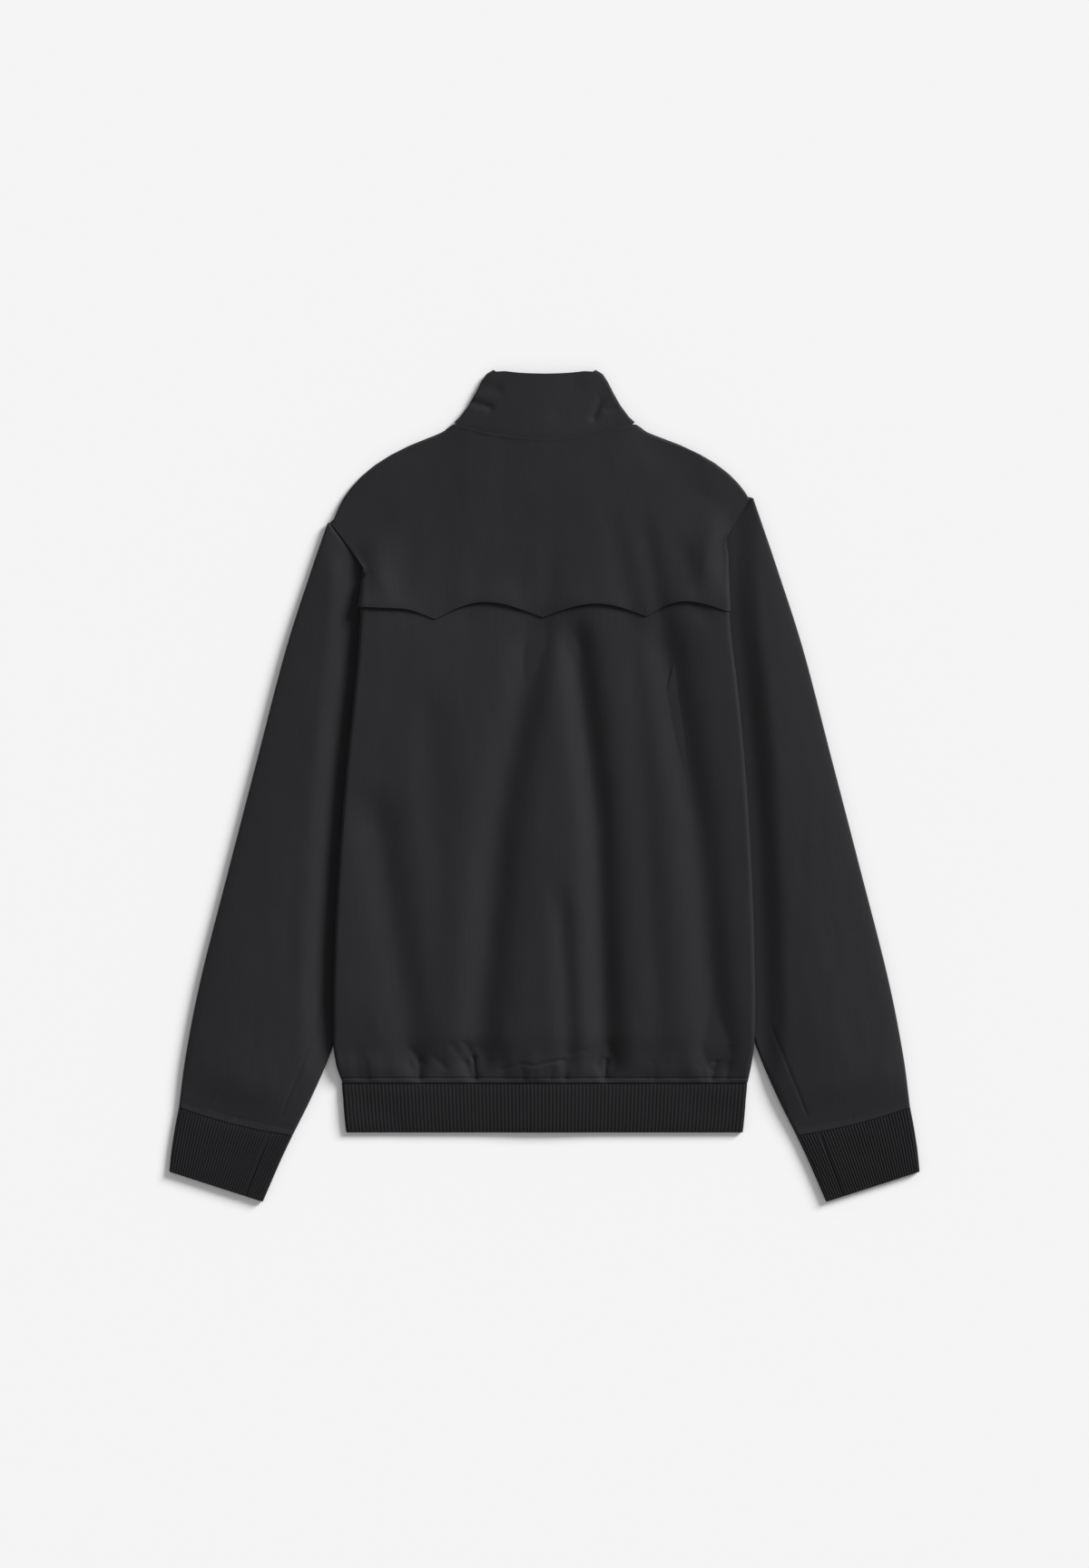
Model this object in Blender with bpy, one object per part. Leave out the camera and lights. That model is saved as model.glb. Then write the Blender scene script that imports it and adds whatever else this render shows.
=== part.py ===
"""A harrington jacket laid flat on its front, with the sleeves down beside the body.

X runs to the right, Y towards the collar and Z up from the surface that the jacket lies on.
Sizes in the constants and tables are millimetres, and MM turns them into metres at the end.
Each cloth piece is a grid of points on its outer face and the same grid on its inner face.
"""

import math
from collections import namedtuple

import bmesh
import bpy
import numpy as np

MM = 0.001
SEAM = 0.3
SHELL_WALL = 2.0
YOKE_WALL = 1.2
RIB_WALL = 2.4
LEFT, RIGHT = -1, 1

# Heights of the stacked layers above the surface.
SLEEVE_UNDER_BODY = 4.6
TUCK_FACE = SLEEVE_UNDER_BODY + SEAM
BACK_CENTRE = 6.5
NECK_RISE = 2.7
SHOULDER_HEIGHT = 6.2
TIP_HEIGHT = 4.8
SIDE_HEIGHT = 12.6
HEM_HEIGHT = 5.4
ZIP_CHAIN_TOP = 3.9

HEM_SEAM_Y = -286.0
HEM_END_Y = -333.6
ARMPIT = (108.0, 35.0)
SIDE_SEAM_AT_HEM = 150.0
SHOULDER_TIP = {LEFT: (207.0, 250.0), RIGHT: (199.0, 274.0)}
ARMHOLE_BOW = 16.0
SHOULDER_SEAM_HEIGHT = 2.4
ZIP_LIFT = 1.9
FRONT_GAP = 6.0
FRONT_NECK_Y = 258.0
HEM_SWELL = 1.2
HEM_SWELL_REACH = 40.0
COLLAR_SEAM_GAP = 0.7

# The fold at each side of the body, where the back turns under: its X for a given Y.
SideFold = namedtuple("SideFold", "y left right height")
SIDE_FOLDS = [
    SideFold(-286.0, 193.5, 194.5, 5.4),
    SideFold(-262.0, 200.5, 199.5, 8.6),
    SideFold(-231.0, 202.0, 201.0, 11.6),
    SideFold(-166.0, 201.0, 200.5, SIDE_HEIGHT),
    SideFold(-68.0, 196.0, 197.0, SIDE_HEIGHT),
    SideFold(30.0, 188.0, 190.5, SIDE_HEIGHT),
    SideFold(96.0, 181.0, 184.0, SIDE_HEIGHT),
    SideFold(145.0, 177.0, 178.0, SIDE_HEIGHT),
    SideFold(204.0, 174.0, 175.0, SIDE_HEIGHT),
    SideFold(240.0, 172.0, 174.0, SIDE_HEIGHT),
]

# The yoke's lower edge: arches between points that hang down.
Scallop = namedtuple("Scallop", "x y hangs")
SCALLOPS = [
    Scallop(-176.0, 169.0, False),
    Scallop(-105.0, 157.5, True),
    Scallop(-58.0, 174.0, False),
    Scallop(-2.0, 159.6, True),
    Scallop(49.0, 172.5, False),
    Scallop(97.0, 160.4, True),
    Scallop(133.0, 174.6, False),
    Scallop(178.0, 164.0, True),
]

# The top edge of the back: the neck seam in the middle and a shoulder on each side.
TopEdge = namedtuple("TopEdge", "x y")
TOP_EDGES = [
    TopEdge(0.0, 330.6),
    TopEdge(28.0, 332.6),
    TopEdge(54.0, 336.6),
    TopEdge(72.0, 341.0),
    TopEdge(82.0, 342.4),
    TopEdge(89.0, 340.6),
    TopEdge(105.0, 334.2),
    TopEdge(130.0, 325.4),
    TopEdge(148.0, 317.4),
    TopEdge(176.0, 300.0),
    TopEdge(192.5, 283.0),
    TopEdge(202.0, 265.0),
    TopEdge(210.0, 248.0),
]

# Soft troughs that hang from the yoke to the hem.
Trough = namedtuple("Trough", "top_x middle_x bottom_x width depth")
TROUGHS = [
    Trough(-4.0, -42.0, -66.0, 24.0, 1.9),
    Trough(28.0, 50.0, 60.0, 17.0, 1.9),
    Trough(112.0, 146.0, 168.0, 20.0, 1.3),
    Trough(-165.0, -150.0, -121.0, 22.0, 1.2),
]
TROUGH_TOP_Y, TROUGH_MIDDLE_Y = 152.0, -36.0

# Sections across a sleeve, from the armhole to the cuff seam.
SleeveSection = namedtuple("SleeveSection", "inner_x inner_y outer_x outer_y bow inner_height outer_height")
SLEEVE_SECTIONS = [
    SleeveSection(120.0, 0.0, 224.0, 204.0, 10.0, 4.6, 6.9),
    SleeveSection(143.0, -70.0, 248.0, 128.0, 3.0, 4.6, 7.5),
    SleeveSection(166.0, -140.0, 275.5, 22.0, 0.0, 4.6, 7.5),
    SleeveSection(188.0, -206.0, 303.0, -84.0, 0.0, 4.6, 7.5),
    SleeveSection(205.0, -258.0, 328.5, -184.0, 0.0, 4.8, 7.5),
    SleeveSection(223.0, -300.0, 343.0, -257.0, 0.0, 5.4, 7.0),
    SleeveSection(241.0, -336.0, 350.0, -309.0, -3.0, 5.7, 5.9),
]
RINGS_PER_SECTION = 2

CuffSection = namedtuple("CuffSection", "inner_x inner_y outer_x outer_y bow")
CUFF_SECTIONS = [
    CuffSection(241.2, -336.4, 350.1, -309.4, -3.0),
    CuffSection(247.0, -348.5, 353.5, -327.0, -1.5),
    CuffSection(255.0, -366.0, 357.0, -349.0, 0.0),
    CuffSection(269.5, -400.0, 359.5, -371.0, 0.0),
]
CUFF_HEIGHT = 5.7

# Stations round one half of the collar, from the zip to the middle of the back.
CollarStation = namedtuple("CollarStation", "seam_x seam_y seam_z top_x top_y top_z")
COLLAR_STATIONS = [
    CollarStation(6.0, 258.3, 1.9, 6.0, 318.0, 1.9),
    CollarStation(24.0, 263.0, 0.9, 17.0, 326.0, 0.9),
    CollarStation(45.0, 281.0, 0.0, 29.0, 344.0, 0.0),
    CollarStation(65.0, 309.0, 0.0, 38.0, 366.0, 0.0),
    CollarStation(78.0, 333.0, 0.0, 43.0, 384.0, 0.0),
]
CollarFold = namedtuple("CollarFold", "share x y")
COLLAR_FOLDS = [
    CollarFold(0.0, 86.5, 346.6),
    CollarFold(0.35, 74.5, 361.5),
    CollarFold(0.65, 63.5, 377.5),
    CollarFold(1.0, 49.0, 396.5),
]


def smooth(value, low, high):
    """A soft step from 0 at low to 1 at high."""
    share = np.clip((value - low) / (high - low), 0.0, 1.0)
    return share * share * (3.0 - 2.0 * share)


def mix(first, second, share):
    """The value this share of the way from first to second."""
    return first + (second - first) * share


def fold_of(side, y):
    """The X size and the height of the body's side fold at this Y."""
    ys = [row.y for row in SIDE_FOLDS]
    reach = [row.left if side == LEFT else row.right for row in SIDE_FOLDS]
    return np.interp(y, ys, reach), np.interp(y, ys, [row.height for row in SIDE_FOLDS])


def armhole(side, share):
    """The point, in plan, this share of the way up the armhole from the armpit to the shoulder."""
    start = np.array(ARMPIT)
    end = np.array(SHOULDER_TIP[side])
    chord = end - start
    inward = np.array([-chord[1], chord[0]]) / np.hypot(*chord)
    share = np.asarray(share)[..., None]
    return start + chord * share + inward * ARMHOLE_BOW * 4.0 * share * (1.0 - share)


def armhole_heading(side, share):
    """The direction, in plan, in which the armhole climbs here."""
    step = armhole(side, min(share + 0.02, 1.0)) - armhole(side, share - 0.02)
    return step / np.hypot(*step)


def beside_armhole(side, share):
    """A point just inside the armhole, where the front's edge runs."""
    ahead = armhole_heading(side, share)
    return armhole(side, share) + np.array([-ahead[1], ahead[0]]) * 0.5


def armhole_x(side, y):
    """The armhole's X at this Y."""
    points = armhole(side, np.linspace(0.0, 1.0, 41))
    return np.interp(y, points[:, 1], points[:, 0])


def seam_x(side, y):
    """Where the back's turned-under edge lies: on the armhole, or on the side seam below the armpit."""
    below = mix(ARMPIT[0], SIDE_SEAM_AT_HEM, (ARMPIT[1] - y) / (ARMPIT[1] - HEM_SEAM_Y))
    return np.where(y > ARMPIT[1], armhole_x(side, y), below)


def sleeve_inner_x(y):
    """The X of the sleeve's edge that lies under the body, at this Y."""
    rows = [SleeveSection(*ARMPIT, 0, 0, 0, 0, 0)] + SLEEVE_SECTIONS
    return np.interp(y, [row.inner_y for row in rows][::-1], [row.inner_x for row in rows][::-1])


def ramp_over_sleeve(x, y):
    """The height of the cloth's lower face where it climbs onto the sleeve's inner part."""
    inner = sleeve_inner_x(y)
    near_hem = smooth(y, HEM_SEAM_Y + 6.0, HEM_SEAM_Y + 42.0)
    return TUCK_FACE * smooth(np.abs(x), inner - 16.0, inner - 3.0) * near_hem


def tuck_face(x, y):
    """The lower face of the back's turned-under side."""
    return TUCK_FACE if y >= ARMPIT[1] else float(ramp_over_sleeve(x, y))


def zip_lift(x, y):
    """The front is raised beside the slider, so that the slider clears the surface."""
    return ZIP_LIFT * smooth(y, 225.0, 275.0) * (1.0 - smooth(np.abs(x), 12.0, 42.0))


def top_edge_y(x):
    """The Y of the neck seam or of the shoulder's outline at this X."""
    return np.interp(np.abs(x), [row.x for row in TOP_EDGES], [row.y for row in TOP_EDGES])


def scallop_y(x):
    """The height of the scalloped edge: each arch rises as a quarter sine from a hanging point."""
    for first, second in zip(SCALLOPS, SCALLOPS[1:]):
        if x <= second.x:
            break
    share = (x - first.x) / (second.x - first.x)
    if first.hangs and not second.hangs:
        return mix(first.y, second.y, math.sin(share * math.pi / 2))
    if second.hangs and not first.hangs:
        return mix(second.y, first.y, math.sin((1.0 - share) * math.pi / 2))
    return mix(first.y, second.y, share)


def trough_depth(x, y):
    """How far the soft troughs lower the back here."""
    depth = 0.0
    for row in TROUGHS:
        ys = [HEM_SEAM_Y, TROUGH_MIDDLE_Y, TROUGH_TOP_Y]
        centre = np.interp(y, ys, [row.bottom_x, row.middle_x, row.top_x])
        depth = depth + row.depth * np.exp(-(((x - centre) / row.width) ** 2))
    return depth * smooth(-y, -150.0, -70.0) * smooth(y, HEM_SEAM_Y, HEM_SEAM_Y + 40.0)


def layers_below_back(x, y):
    """The highest point of whatever lies between the back and the surface."""
    side = np.where(x < 0, LEFT, RIGHT)
    turned = np.where(side == LEFT, armhole_x(LEFT, y), armhole_x(RIGHT, y))
    inner = np.where(y > ARMPIT[1], turned - 4.0, sleeve_inner_x(y) - 3.0)
    folded = 1.0 - smooth(y, 190.0, 240.0)
    layers = SHELL_WALL + TUCK_FACE * smooth(np.abs(x), inner - 24.0, inner) * folded
    near_zip = 1.0 - smooth(np.abs(x), 16.0, 40.0)
    slider = mix(ZIP_CHAIN_TOP, 6.9, smooth(y, 225.0, 275.0))
    return np.maximum(layers, mix(SHELL_WALL, slider, near_zip))


def hem_level(x):
    """The height of the hem band's upper face, which swells over the zip."""
    return HEM_HEIGHT + HEM_SWELL * math.exp(-((x / HEM_SWELL_REACH) ** 2))


def back_height(x, y):
    """The outer face of the back over its whole middle."""
    side = LEFT if x < 0 else RIGHT
    reach, height = fold_of(side, y)
    below_tip = SHOULDER_TIP[side][1] - y
    height = mix(TIP_HEIGHT, height, float(smooth(below_tip, 5.0, 55.0)))
    centre = BACK_CENTRE + NECK_RISE * float(smooth(y, 235.0, 290.0)) * math.exp(-((x / 50.0) ** 2))
    centre = mix(hem_level(x), centre, float(smooth(y, HEM_SEAM_Y, HEM_SEAM_Y + 46.0)))
    level = mix(centre, height, float(smooth(abs(x), 50.0, reach - 8.0)))
    level -= float(trough_depth(x, y))
    to_top = float(top_edge_y(x)) - y
    if abs(x) > 80.0:
        level = mix(SHOULDER_HEIGHT if abs(x) < 180 else TIP_HEIGHT, level, float(smooth(to_top, 4.0, 45.0)))
    return max(level, float(layers_below_back(x, y)) + SEAM + 0.1 + SHELL_WALL)


def material(name, colour, roughness, metallic=0.0):
    """A plain finish: its colour, how matt it is and whether it is metal."""
    made = bpy.data.materials.new(name)
    made.use_nodes = True
    shader = made.node_tree.nodes["Principled BSDF"]
    shader.inputs["Base Color"].default_value = (*colour, 1.0)
    shader.inputs["Roughness"].default_value = roughness
    shader.inputs["Metallic"].default_value = metallic
    return made


def add_object(name, bm, finish):
    """Turns a built shape into a named object with its faces outwards."""
    if bm.calc_volume(signed=True) < 0:
        bmesh.ops.reverse_faces(bm, faces=bm.faces)
    mesh = bpy.data.meshes.new(name)
    bm.to_mesh(mesh)
    bm.free()
    mesh.shade_smooth()
    mesh.set_sharp_from_angle(angle=math.radians(50))
    mesh.materials.append(finish)
    made = bpy.data.objects.new(name, mesh)
    bpy.context.scene.collection.objects.link(made)
    return made


def add_cloth(name, outer, inner, finish, tube=False):
    """A wall between two grids of points, closed along its rims. A tube's columns run full circle."""
    outer, inner = np.asarray(outer), np.asarray(inner)
    rows, columns = outer.shape[:2]
    bm = bmesh.new()
    out, back = [[[bm.verts.new(point * MM) for point in row] for row in grid] for grid in (outer, inner)]
    spans = columns if tube else columns - 1
    for i in range(rows - 1):
        for j in range(spans):
            k = (j + 1) % columns
            bm.faces.new((out[i][j], out[i][k], out[i + 1][k], out[i + 1][j]))
            bm.faces.new((back[i][j], back[i + 1][j], back[i + 1][k], back[i][k]))
    for i, turned in ((0, False), (rows - 1, True)):
        for j in range(spans):
            k = (j + 1) % columns
            rim = (out[i][j], back[i][j], back[i][k], out[i][k])
            bm.faces.new(rim[::-1] if turned else rim)
    for j, turned in ((0, True), (columns - 1, False)):
        for i in range(0 if tube else rows - 1):
            rim = (out[i][j], back[i][j], back[i + 1][j], out[i + 1][j])
            bm.faces.new(rim[::-1] if turned else rim)
    return add_object(name, bm, finish)


# ---------------------------------------------------------------- back and yoke

MAIN_COLUMNS = [-172.0, -157.0, -138.0, -120.0, -105.0, -90.0, -75.0, -58.0, -38.0, -18.0, -2.0,
                14.0, 30.0, 49.0, 68.0, 85.0, 97.0, 112.0, 133.0, 155.0, 173.0]
LOWER_ROWS = [-285.7, -272.0, -255.0, -235.0, -200.0, -155.0, -105.0, -60.0, -20.0, 10.0, 35.0, 85.0]
UPPER_SHARES = [0.0, 0.2, 0.36, 0.47, 0.58, 0.7, 0.84, 1.0]
CURL_STEPS = 5
TAIL_SHARES = [0.25, 0.5, 0.75, 1.0]
FLAT_TAIL = 0.6
YOKE_CURL_STEPS = 3
FULL_CURL = 12.4
FLAT_END = 2.5


def arc(turn, length, share):
    """How far forward and how far down a strip has come, part of the way round its curl."""
    if turn < 0.02:
        return length * share, 0.0
    radius = length / turn
    return radius * math.sin(turn * share), radius * (1.0 - math.cos(turn * share))


def side_curl(side, y):
    """The back's side from where its middle ends: (x, height, outward angle) for each column."""
    seam = float(seam_x(side, y))
    fold = float(fold_of(side, y)[0])
    turn = math.pi * float(np.clip((fold - seam) / 12.0, 0.03, 1.0))
    reach = max(fold, seam - SEAM - FLAT_TAIL)
    turned_under = turn > 2.6
    low = tuck_face(reach - 3.0, y)
    if not turned_under:
        low += FLAT_TAIL + SHELL_WALL * max(math.cos(turn), 0.0)
    top = back_height(side * (reach - 4.0), y)
    full = min(FULL_CURL, (top - low) * turn / (1.0 - math.cos(turn))) if turn > 0.5 else FULL_CURL
    length = mix(FLAT_END, full, float(smooth(turn, 0.2, 1.2)))
    start = reach - arc(min(turn, math.pi / 2), length * min(1.0, math.pi / 2 / turn), 1.0)[0]
    points = []
    for step in range(CURL_STEPS + 1):
        forward, down = arc(turn, length, step / CURL_STEPS)
        points.append((start + forward, top - down, turn * step / CURL_STEPS))
    end_x, end_z, _ = points[-1]
    if turned_under:
        return points + [(x, tuck_face(x, y), math.pi) for x in tuck_columns(end_x, seam, y)]
    for share in TAIL_SHARES:
        reached = FLAT_TAIL * share
        points.append((end_x + reached * math.cos(turn), end_z - reached * math.sin(turn), turn))
    return points


def tuck_columns(start, seam, y):
    """Where the turned-under side has its columns: on the ramp that climbs over the sleeve."""
    even = [mix(start, seam, share) for share in TAIL_SHARES]
    if y >= ARMPIT[1]:
        return even
    inner = float(sleeve_inner_x(y))
    on_ramp = [inner - 3.0, inner - 9.5, inner - 16.0]
    most, least = start - 2.0, seam + 2.0
    placed = [min(x, most - 3.0 * k) for k, x in enumerate(on_ramp)]
    placed = [max(x, least + 3.0 * (2 - k)) for k, x in enumerate(placed)]
    return placed + [seam]


def back_row(curls, columns_y):
    """One row of the back: its points and outward directions, from the left seam to the right one."""
    points, outward = [], []
    for side in (LEFT, RIGHT):
        curl = [((side * x, columns_y[side], z), (side * math.sin(a), 0.0, math.cos(a)))
                for x, z, a in curls[side]]
        if side == LEFT:
            curl = curl[::-1]
        points += [point for point, _ in curl]
        outward += [direction for _, direction in curl]
        if side == LEFT:
            middle = columns_y["middle"][1:-1]
            points += [(x, y, back_height(x, y)) for x, y in middle]
            outward += [(0.0, 0.0, 1.0)] * len(middle)
    return points, outward


def middle_places(left, right, row_y):
    """Where a row's middle columns lie, between the starts of its two curls."""
    first, last = MAIN_COLUMNS[0], MAIN_COLUMNS[-1]
    places = []
    for column in MAIN_COLUMNS:
        x = mix(left, right, (column - first) / (last - first))
        places.append((x, row_y(column, x)))
    return places


def lower_row(y):
    """A row of the back below the yoke."""
    curls = {side: side_curl(side, y) for side in (LEFT, RIGHT)}
    near = float(smooth(y, 60.0, 150.0)) * 0.35
    places = middle_places(-curls[LEFT][0][0], curls[RIGHT][0][0],
                           lambda column, x: y + near * (scallop_y(column) - 166.0))
    return back_row(curls, {LEFT: y, RIGHT: y, "middle": places})


def upper_row(share):
    """A row of the back under the yoke, this share of the way from the yoke's edge to the shoulder."""
    ends = {side: mix(scallop_y(side * 174.0), SHOULDER_TIP[side][1], share) for side in (LEFT, RIGHT)}
    curls = {side: side_curl(side, ends[side]) for side in (LEFT, RIGHT)}
    reach = {side: curls[side][0][0] for side in (LEFT, RIGHT)}

    def row_y(column, x):
        side = LEFT if x < 0 else RIGHT
        end = scallop_y(side * 172.5), float(top_edge_y(reach[side]))
        gap = ends[side] - mix(*end, share)
        return mix(scallop_y(column), float(top_edge_y(x)), share) + gap * abs(x / reach[side]) ** 5

    places = middle_places(-reach[LEFT], reach[RIGHT], row_y)
    return back_row(curls, {LEFT: ends[LEFT], RIGHT: ends[RIGHT], "middle": places})


def roll_shoulders(points, outward):
    """Turns the top row into three that roll over the shoulders, and that stay flat at the neck."""
    top = np.array(points[-1])
    along = np.gradient(top[:, :2], axis=0)
    normal = np.stack([-along[:, 1], along[:, 0]], axis=1)
    normal /= np.linalg.norm(normal, axis=1)[:, None]
    ends = CURL_STEPS + len(TAIL_SHARES) + 1
    normal[:ends] = armhole_heading(LEFT, 1.0) * (-1.0, 1.0)
    normal[-ends:] = armhole_heading(RIGHT, 1.0)
    rows, directions = [], []
    for step in range(3):
        row, row_out = [], []
        for place, away in zip(top, normal):
            rolled = float(smooth(abs(place[0]), 84.0, 100.0))
            turn = rolled * math.pi / 2
            length = mix(3.0, (place[2] - SHOULDER_SEAM_HEIGHT) * math.pi / 2, rolled)
            inset = arc(turn, length, 1.0)[0] + rolled * (SEAM + YOKE_WALL)
            forward, down = arc(turn, length, step / 2)
            plan = place[:2] + away * (forward - inset)
            row.append((*plan, place[2] - down))
            angle = turn * step / 2
            row_out.append((*(away * math.sin(angle)), math.cos(angle)))
        rows.append(row)
        directions.append(row_out)
    return points[:-1] + rows, outward[:-1] + directions


def back_grid():
    """All the back's rows, from the hem seam to the rolled shoulders."""
    rows = [lower_row(y) for y in LOWER_ROWS] + [upper_row(share) for share in UPPER_SHARES]
    points, outward = roll_shoulders([row[0] for row in rows], [row[1] for row in rows])
    return np.array(points), np.array(outward)


def add_back_and_yoke(finish):
    """The back, and the yoke made from the back's own points, moved out."""
    points, outward = back_grid()
    add_cloth("back", points, points - outward * SHELL_WALL, finish)
    ends = CURL_STEPS + len(TAIL_SHARES) - YOKE_CURL_STEPS
    kept = slice(ends, points.shape[1] - ends)
    under = points[len(LOWER_ROWS):, kept]
    away = outward[len(LOWER_ROWS):, kept]
    inner = under + away * SEAM
    add_cloth("yoke", inner + away * YOKE_WALL, inner, finish)


# ---------------------------------------------------------------- fronts

FRONT_COLUMNS = [0.0, 0.14, 0.3, 0.46, 0.62, 0.78, 0.9, 1.0]
FRONT_LOWER_ROWS = [-285.7, -258.0, -222.0, -176.0, -130.0, -84.0, -44.0, -15.0, 3.0, 16.0, 26.0]
FRONT_UPPER_SHARES = [0.0, 0.1, 0.24, 0.38, 0.5, 0.6, 0.7, 0.82, 0.92, 1.0]


def front_height(x, y):
    """The outer face of a front, which is its underside here."""
    near_armpit = smooth(ARMPIT[1] - y, 0.0, 25.0)
    return float(zip_lift(x, y) + ramp_over_sleeve(x, y) * near_armpit)


def shoulder_line(side, share):
    """The front's shoulder edge, set inside the roll of the back."""
    tip = SHOULDER_TIP[side]
    start_x = 86.5
    x = mix(start_x, tip[0] - 3.0, share)
    line = np.array([x, float(top_edge_y(x)) - 4.5])
    end_gap = np.array([0.0, tip[1] - 1.5 - (float(top_edge_y(tip[0] - 3.0)) - 4.5)])
    return line + end_gap * share ** 4


def front_inner_edge(share):
    """Up the zip's edge and round the neck to the shoulder."""
    neck = [(row.seam_x, row.seam_y - SEAM - 0.1) for row in COLLAR_STATIONS]
    places = [(FRONT_GAP, mix(ARMPIT[1], FRONT_NECK_Y, k / 4)) for k in range(4)] + neck
    places = np.array([*places, (86.5, shoulder_line(RIGHT, 0.0)[1])])
    return np.array([np.interp(share, FRONT_UPPER_SHARES, places[:, k]) for k in range(2)])


def add_front(side, name, finish):
    """One front: straight rows below the armpit, and rows blended between its four edges above."""
    rows = []
    for y in FRONT_LOWER_ROWS:
        seam = float(seam_x(side, y)) - SEAM
        rows.append([(mix(FRONT_GAP, seam, u), y) for u in FRONT_COLUMNS])
    corner = np.array([(FRONT_GAP, ARMPIT[1]), (ARMPIT[0] - 0.5, ARMPIT[1])])
    top_corner = [shoulder_line(side, 0.0), beside_armhole(side, 1.0)]
    for v in FRONT_UPPER_SHARES:
        inner, outer = front_inner_edge(v), beside_armhole(side, v)
        row = []
        for u in FRONT_COLUMNS:
            bottom = mix(corner[0], corner[1], u)
            top = mix(shoulder_line(side, u), top_corner[1], float(u == 1.0))
            edges = mix(bottom, top, v) + mix(inner, outer, u)
            row.append(edges - mix(bottom, mix(top_corner[0], top_corner[1], u), v))
        rows.append(row)
    outer = [[(side * x, y, front_height(x, y)) for x, y in row] for row in rows]
    inner = [[(x, y, z + SHELL_WALL) for x, y, z in row] for row in outer]
    add_cloth(name, outer, inner, finish)


# ---------------------------------------------------------------- sleeves and cuffs

TUBE_TOP = [0.0, 0.14, 0.28, 0.42, 0.56, 0.7, 0.85, 1.0]
TUBE_BOTTOM = [0.0, 0.33, 0.66, 1.0]
ARC_ANGLES = [math.pi * 0.25, math.pi * 0.5, math.pi * 0.75]


def tube_ring(side, inner_end, outer_end, bow, height_at, wall):
    """A flattened ring that lies on the surface: round at both ends and open inside."""
    chord = outer_end - inner_end
    length = float(np.hypot(*chord))
    ahead = chord / length
    upward = np.array([-ahead[1], ahead[0]])
    places, outward = [], []

    def on_line(share):
        return inner_end + chord * share + upward * bow * 4.0 * share * (1.0 - share)

    half = [height_at(on_line(share)) / 2 for share in (0.0, 1.0)]
    low_end, high_end = half[0] / length, 1.0 - half[1] / length
    for share in TUBE_TOP:
        plan = on_line(mix(low_end, high_end, share))
        places.append((*plan, height_at(plan)))
        outward.append((0.0, 0.0, 1.0))
    for end, radius, angles, turned in ((high_end, half[1], ARC_ANGLES, 1), (low_end, half[0], ARC_ANGLES, -1)):
        if turned < 0:
            for share in TUBE_BOTTOM:
                plan = on_line(mix(high_end, low_end, share))
                places.append((*plan, 0.0))
                outward.append((0.0, 0.0, -1.0))
        for angle in angles:
            reach, rise = math.sin(angle), turned * math.cos(angle)
            plan = on_line(end) + ahead * turned * radius * reach
            places.append((*plan, radius * (1.0 + rise)))
            outward.append((*(ahead * turned * reach), rise))
    mirror = np.array([side, 1.0, 1.0])
    places, outward = np.array(places) * mirror, np.array(outward) * mirror
    return places, places - outward * wall


def catmull(rows, steps):
    """Rows between the given ones, on a smooth curve through them."""
    table = np.array(rows, dtype=float)
    padded = np.vstack([2 * table[0] - table[1], table, 2 * table[-1] - table[-2]])
    made = []
    for k in range(len(table) - 1):
        a, b, c, d = padded[k:k + 4]
        for step in range(steps):
            t = step / steps
            made.append(0.5 * (2 * b + (c - a) * t + (2 * a - 5 * b + 4 * c - d) * t * t
                               + (3 * b - a - 3 * c + d) * t ** 3))
    return made + [table[-1]]


def add_sleeve(side, name, finish):
    """One sleeve: rings from the armhole to the cuff seam, low where the body lies on them."""
    apart = np.array([0.4, -0.4])
    first = SleeveSection(*(ARMPIT + apart), *(SHOULDER_TIP[side] + apart), ARMHOLE_BOW, SLEEVE_UNDER_BODY, 6.1)
    outer, inner = [], []
    for row in catmull([first, *SLEEVE_SECTIONS], RINGS_PER_SECTION):
        section = SleeveSection(*row)

        def height_at(plan):
            fold = float(fold_of(side, plan[1])[0])
            share = float(smooth(plan[0], fold + 8.0, fold + 30.0))
            return mix(section.inner_height, section.outer_height, share)

        ends = np.array([(section.inner_x, section.inner_y), (section.outer_x, section.outer_y)])
        ring = tube_ring(side, ends[0], ends[1], section.bow, height_at, SHELL_WALL)
        outer.append(ring[0])
        inner.append(ring[1])
    add_cloth(name, outer, inner, finish, tube=True)


def add_cuff(side, name, finish):
    """One cuff, as a short tube."""
    outer, inner = [], []
    for row in CUFF_SECTIONS:
        ends = np.array([(row.inner_x, row.inner_y), (row.outer_x, row.outer_y)])
        ring = tube_ring(side, ends[0], ends[1], row.bow, lambda plan: CUFF_HEIGHT, RIB_WALL)
        outer.append(ring[0])
        inner.append(ring[1])
    add_cloth(name, outer, inner, finish, tube=True)


# ---------------------------------------------------------------- hem and collar

HEM_ROWS = [(-286.3, 194.0), (-300.0, 193.0), (-320.0, 191.5), (HEM_END_Y, 190.0)]
HEM_FRONT = [FRONT_GAP, 30.0, 70.0, 110.0, 150.0]
HEM_BACK = [1.0, 0.85, 0.7, 0.52, 0.34, 0.18, 0.07]
FOLD_ANGLES = [0.0, math.pi * 0.25, math.pi * 0.5, math.pi * 0.75, math.pi]


def mirrored_strip(half):
    """A row of (point, outward) from the zip to the middle of the back, then back to the zip."""
    flip = [((-p[0], p[1], p[2]), (-o[0], o[1], o[2])) for p, o in half[:-1]]
    return half + flip[::-1]


def add_strip(name, rows, wall, finish):
    """A cloth strip from rows of (point, outward)."""
    points = np.array([[p for p, _ in row] for row in rows])
    outward = np.array([[o for _, o in row] for row in rows])
    add_cloth(name, points, points - outward * wall, finish)


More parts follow.
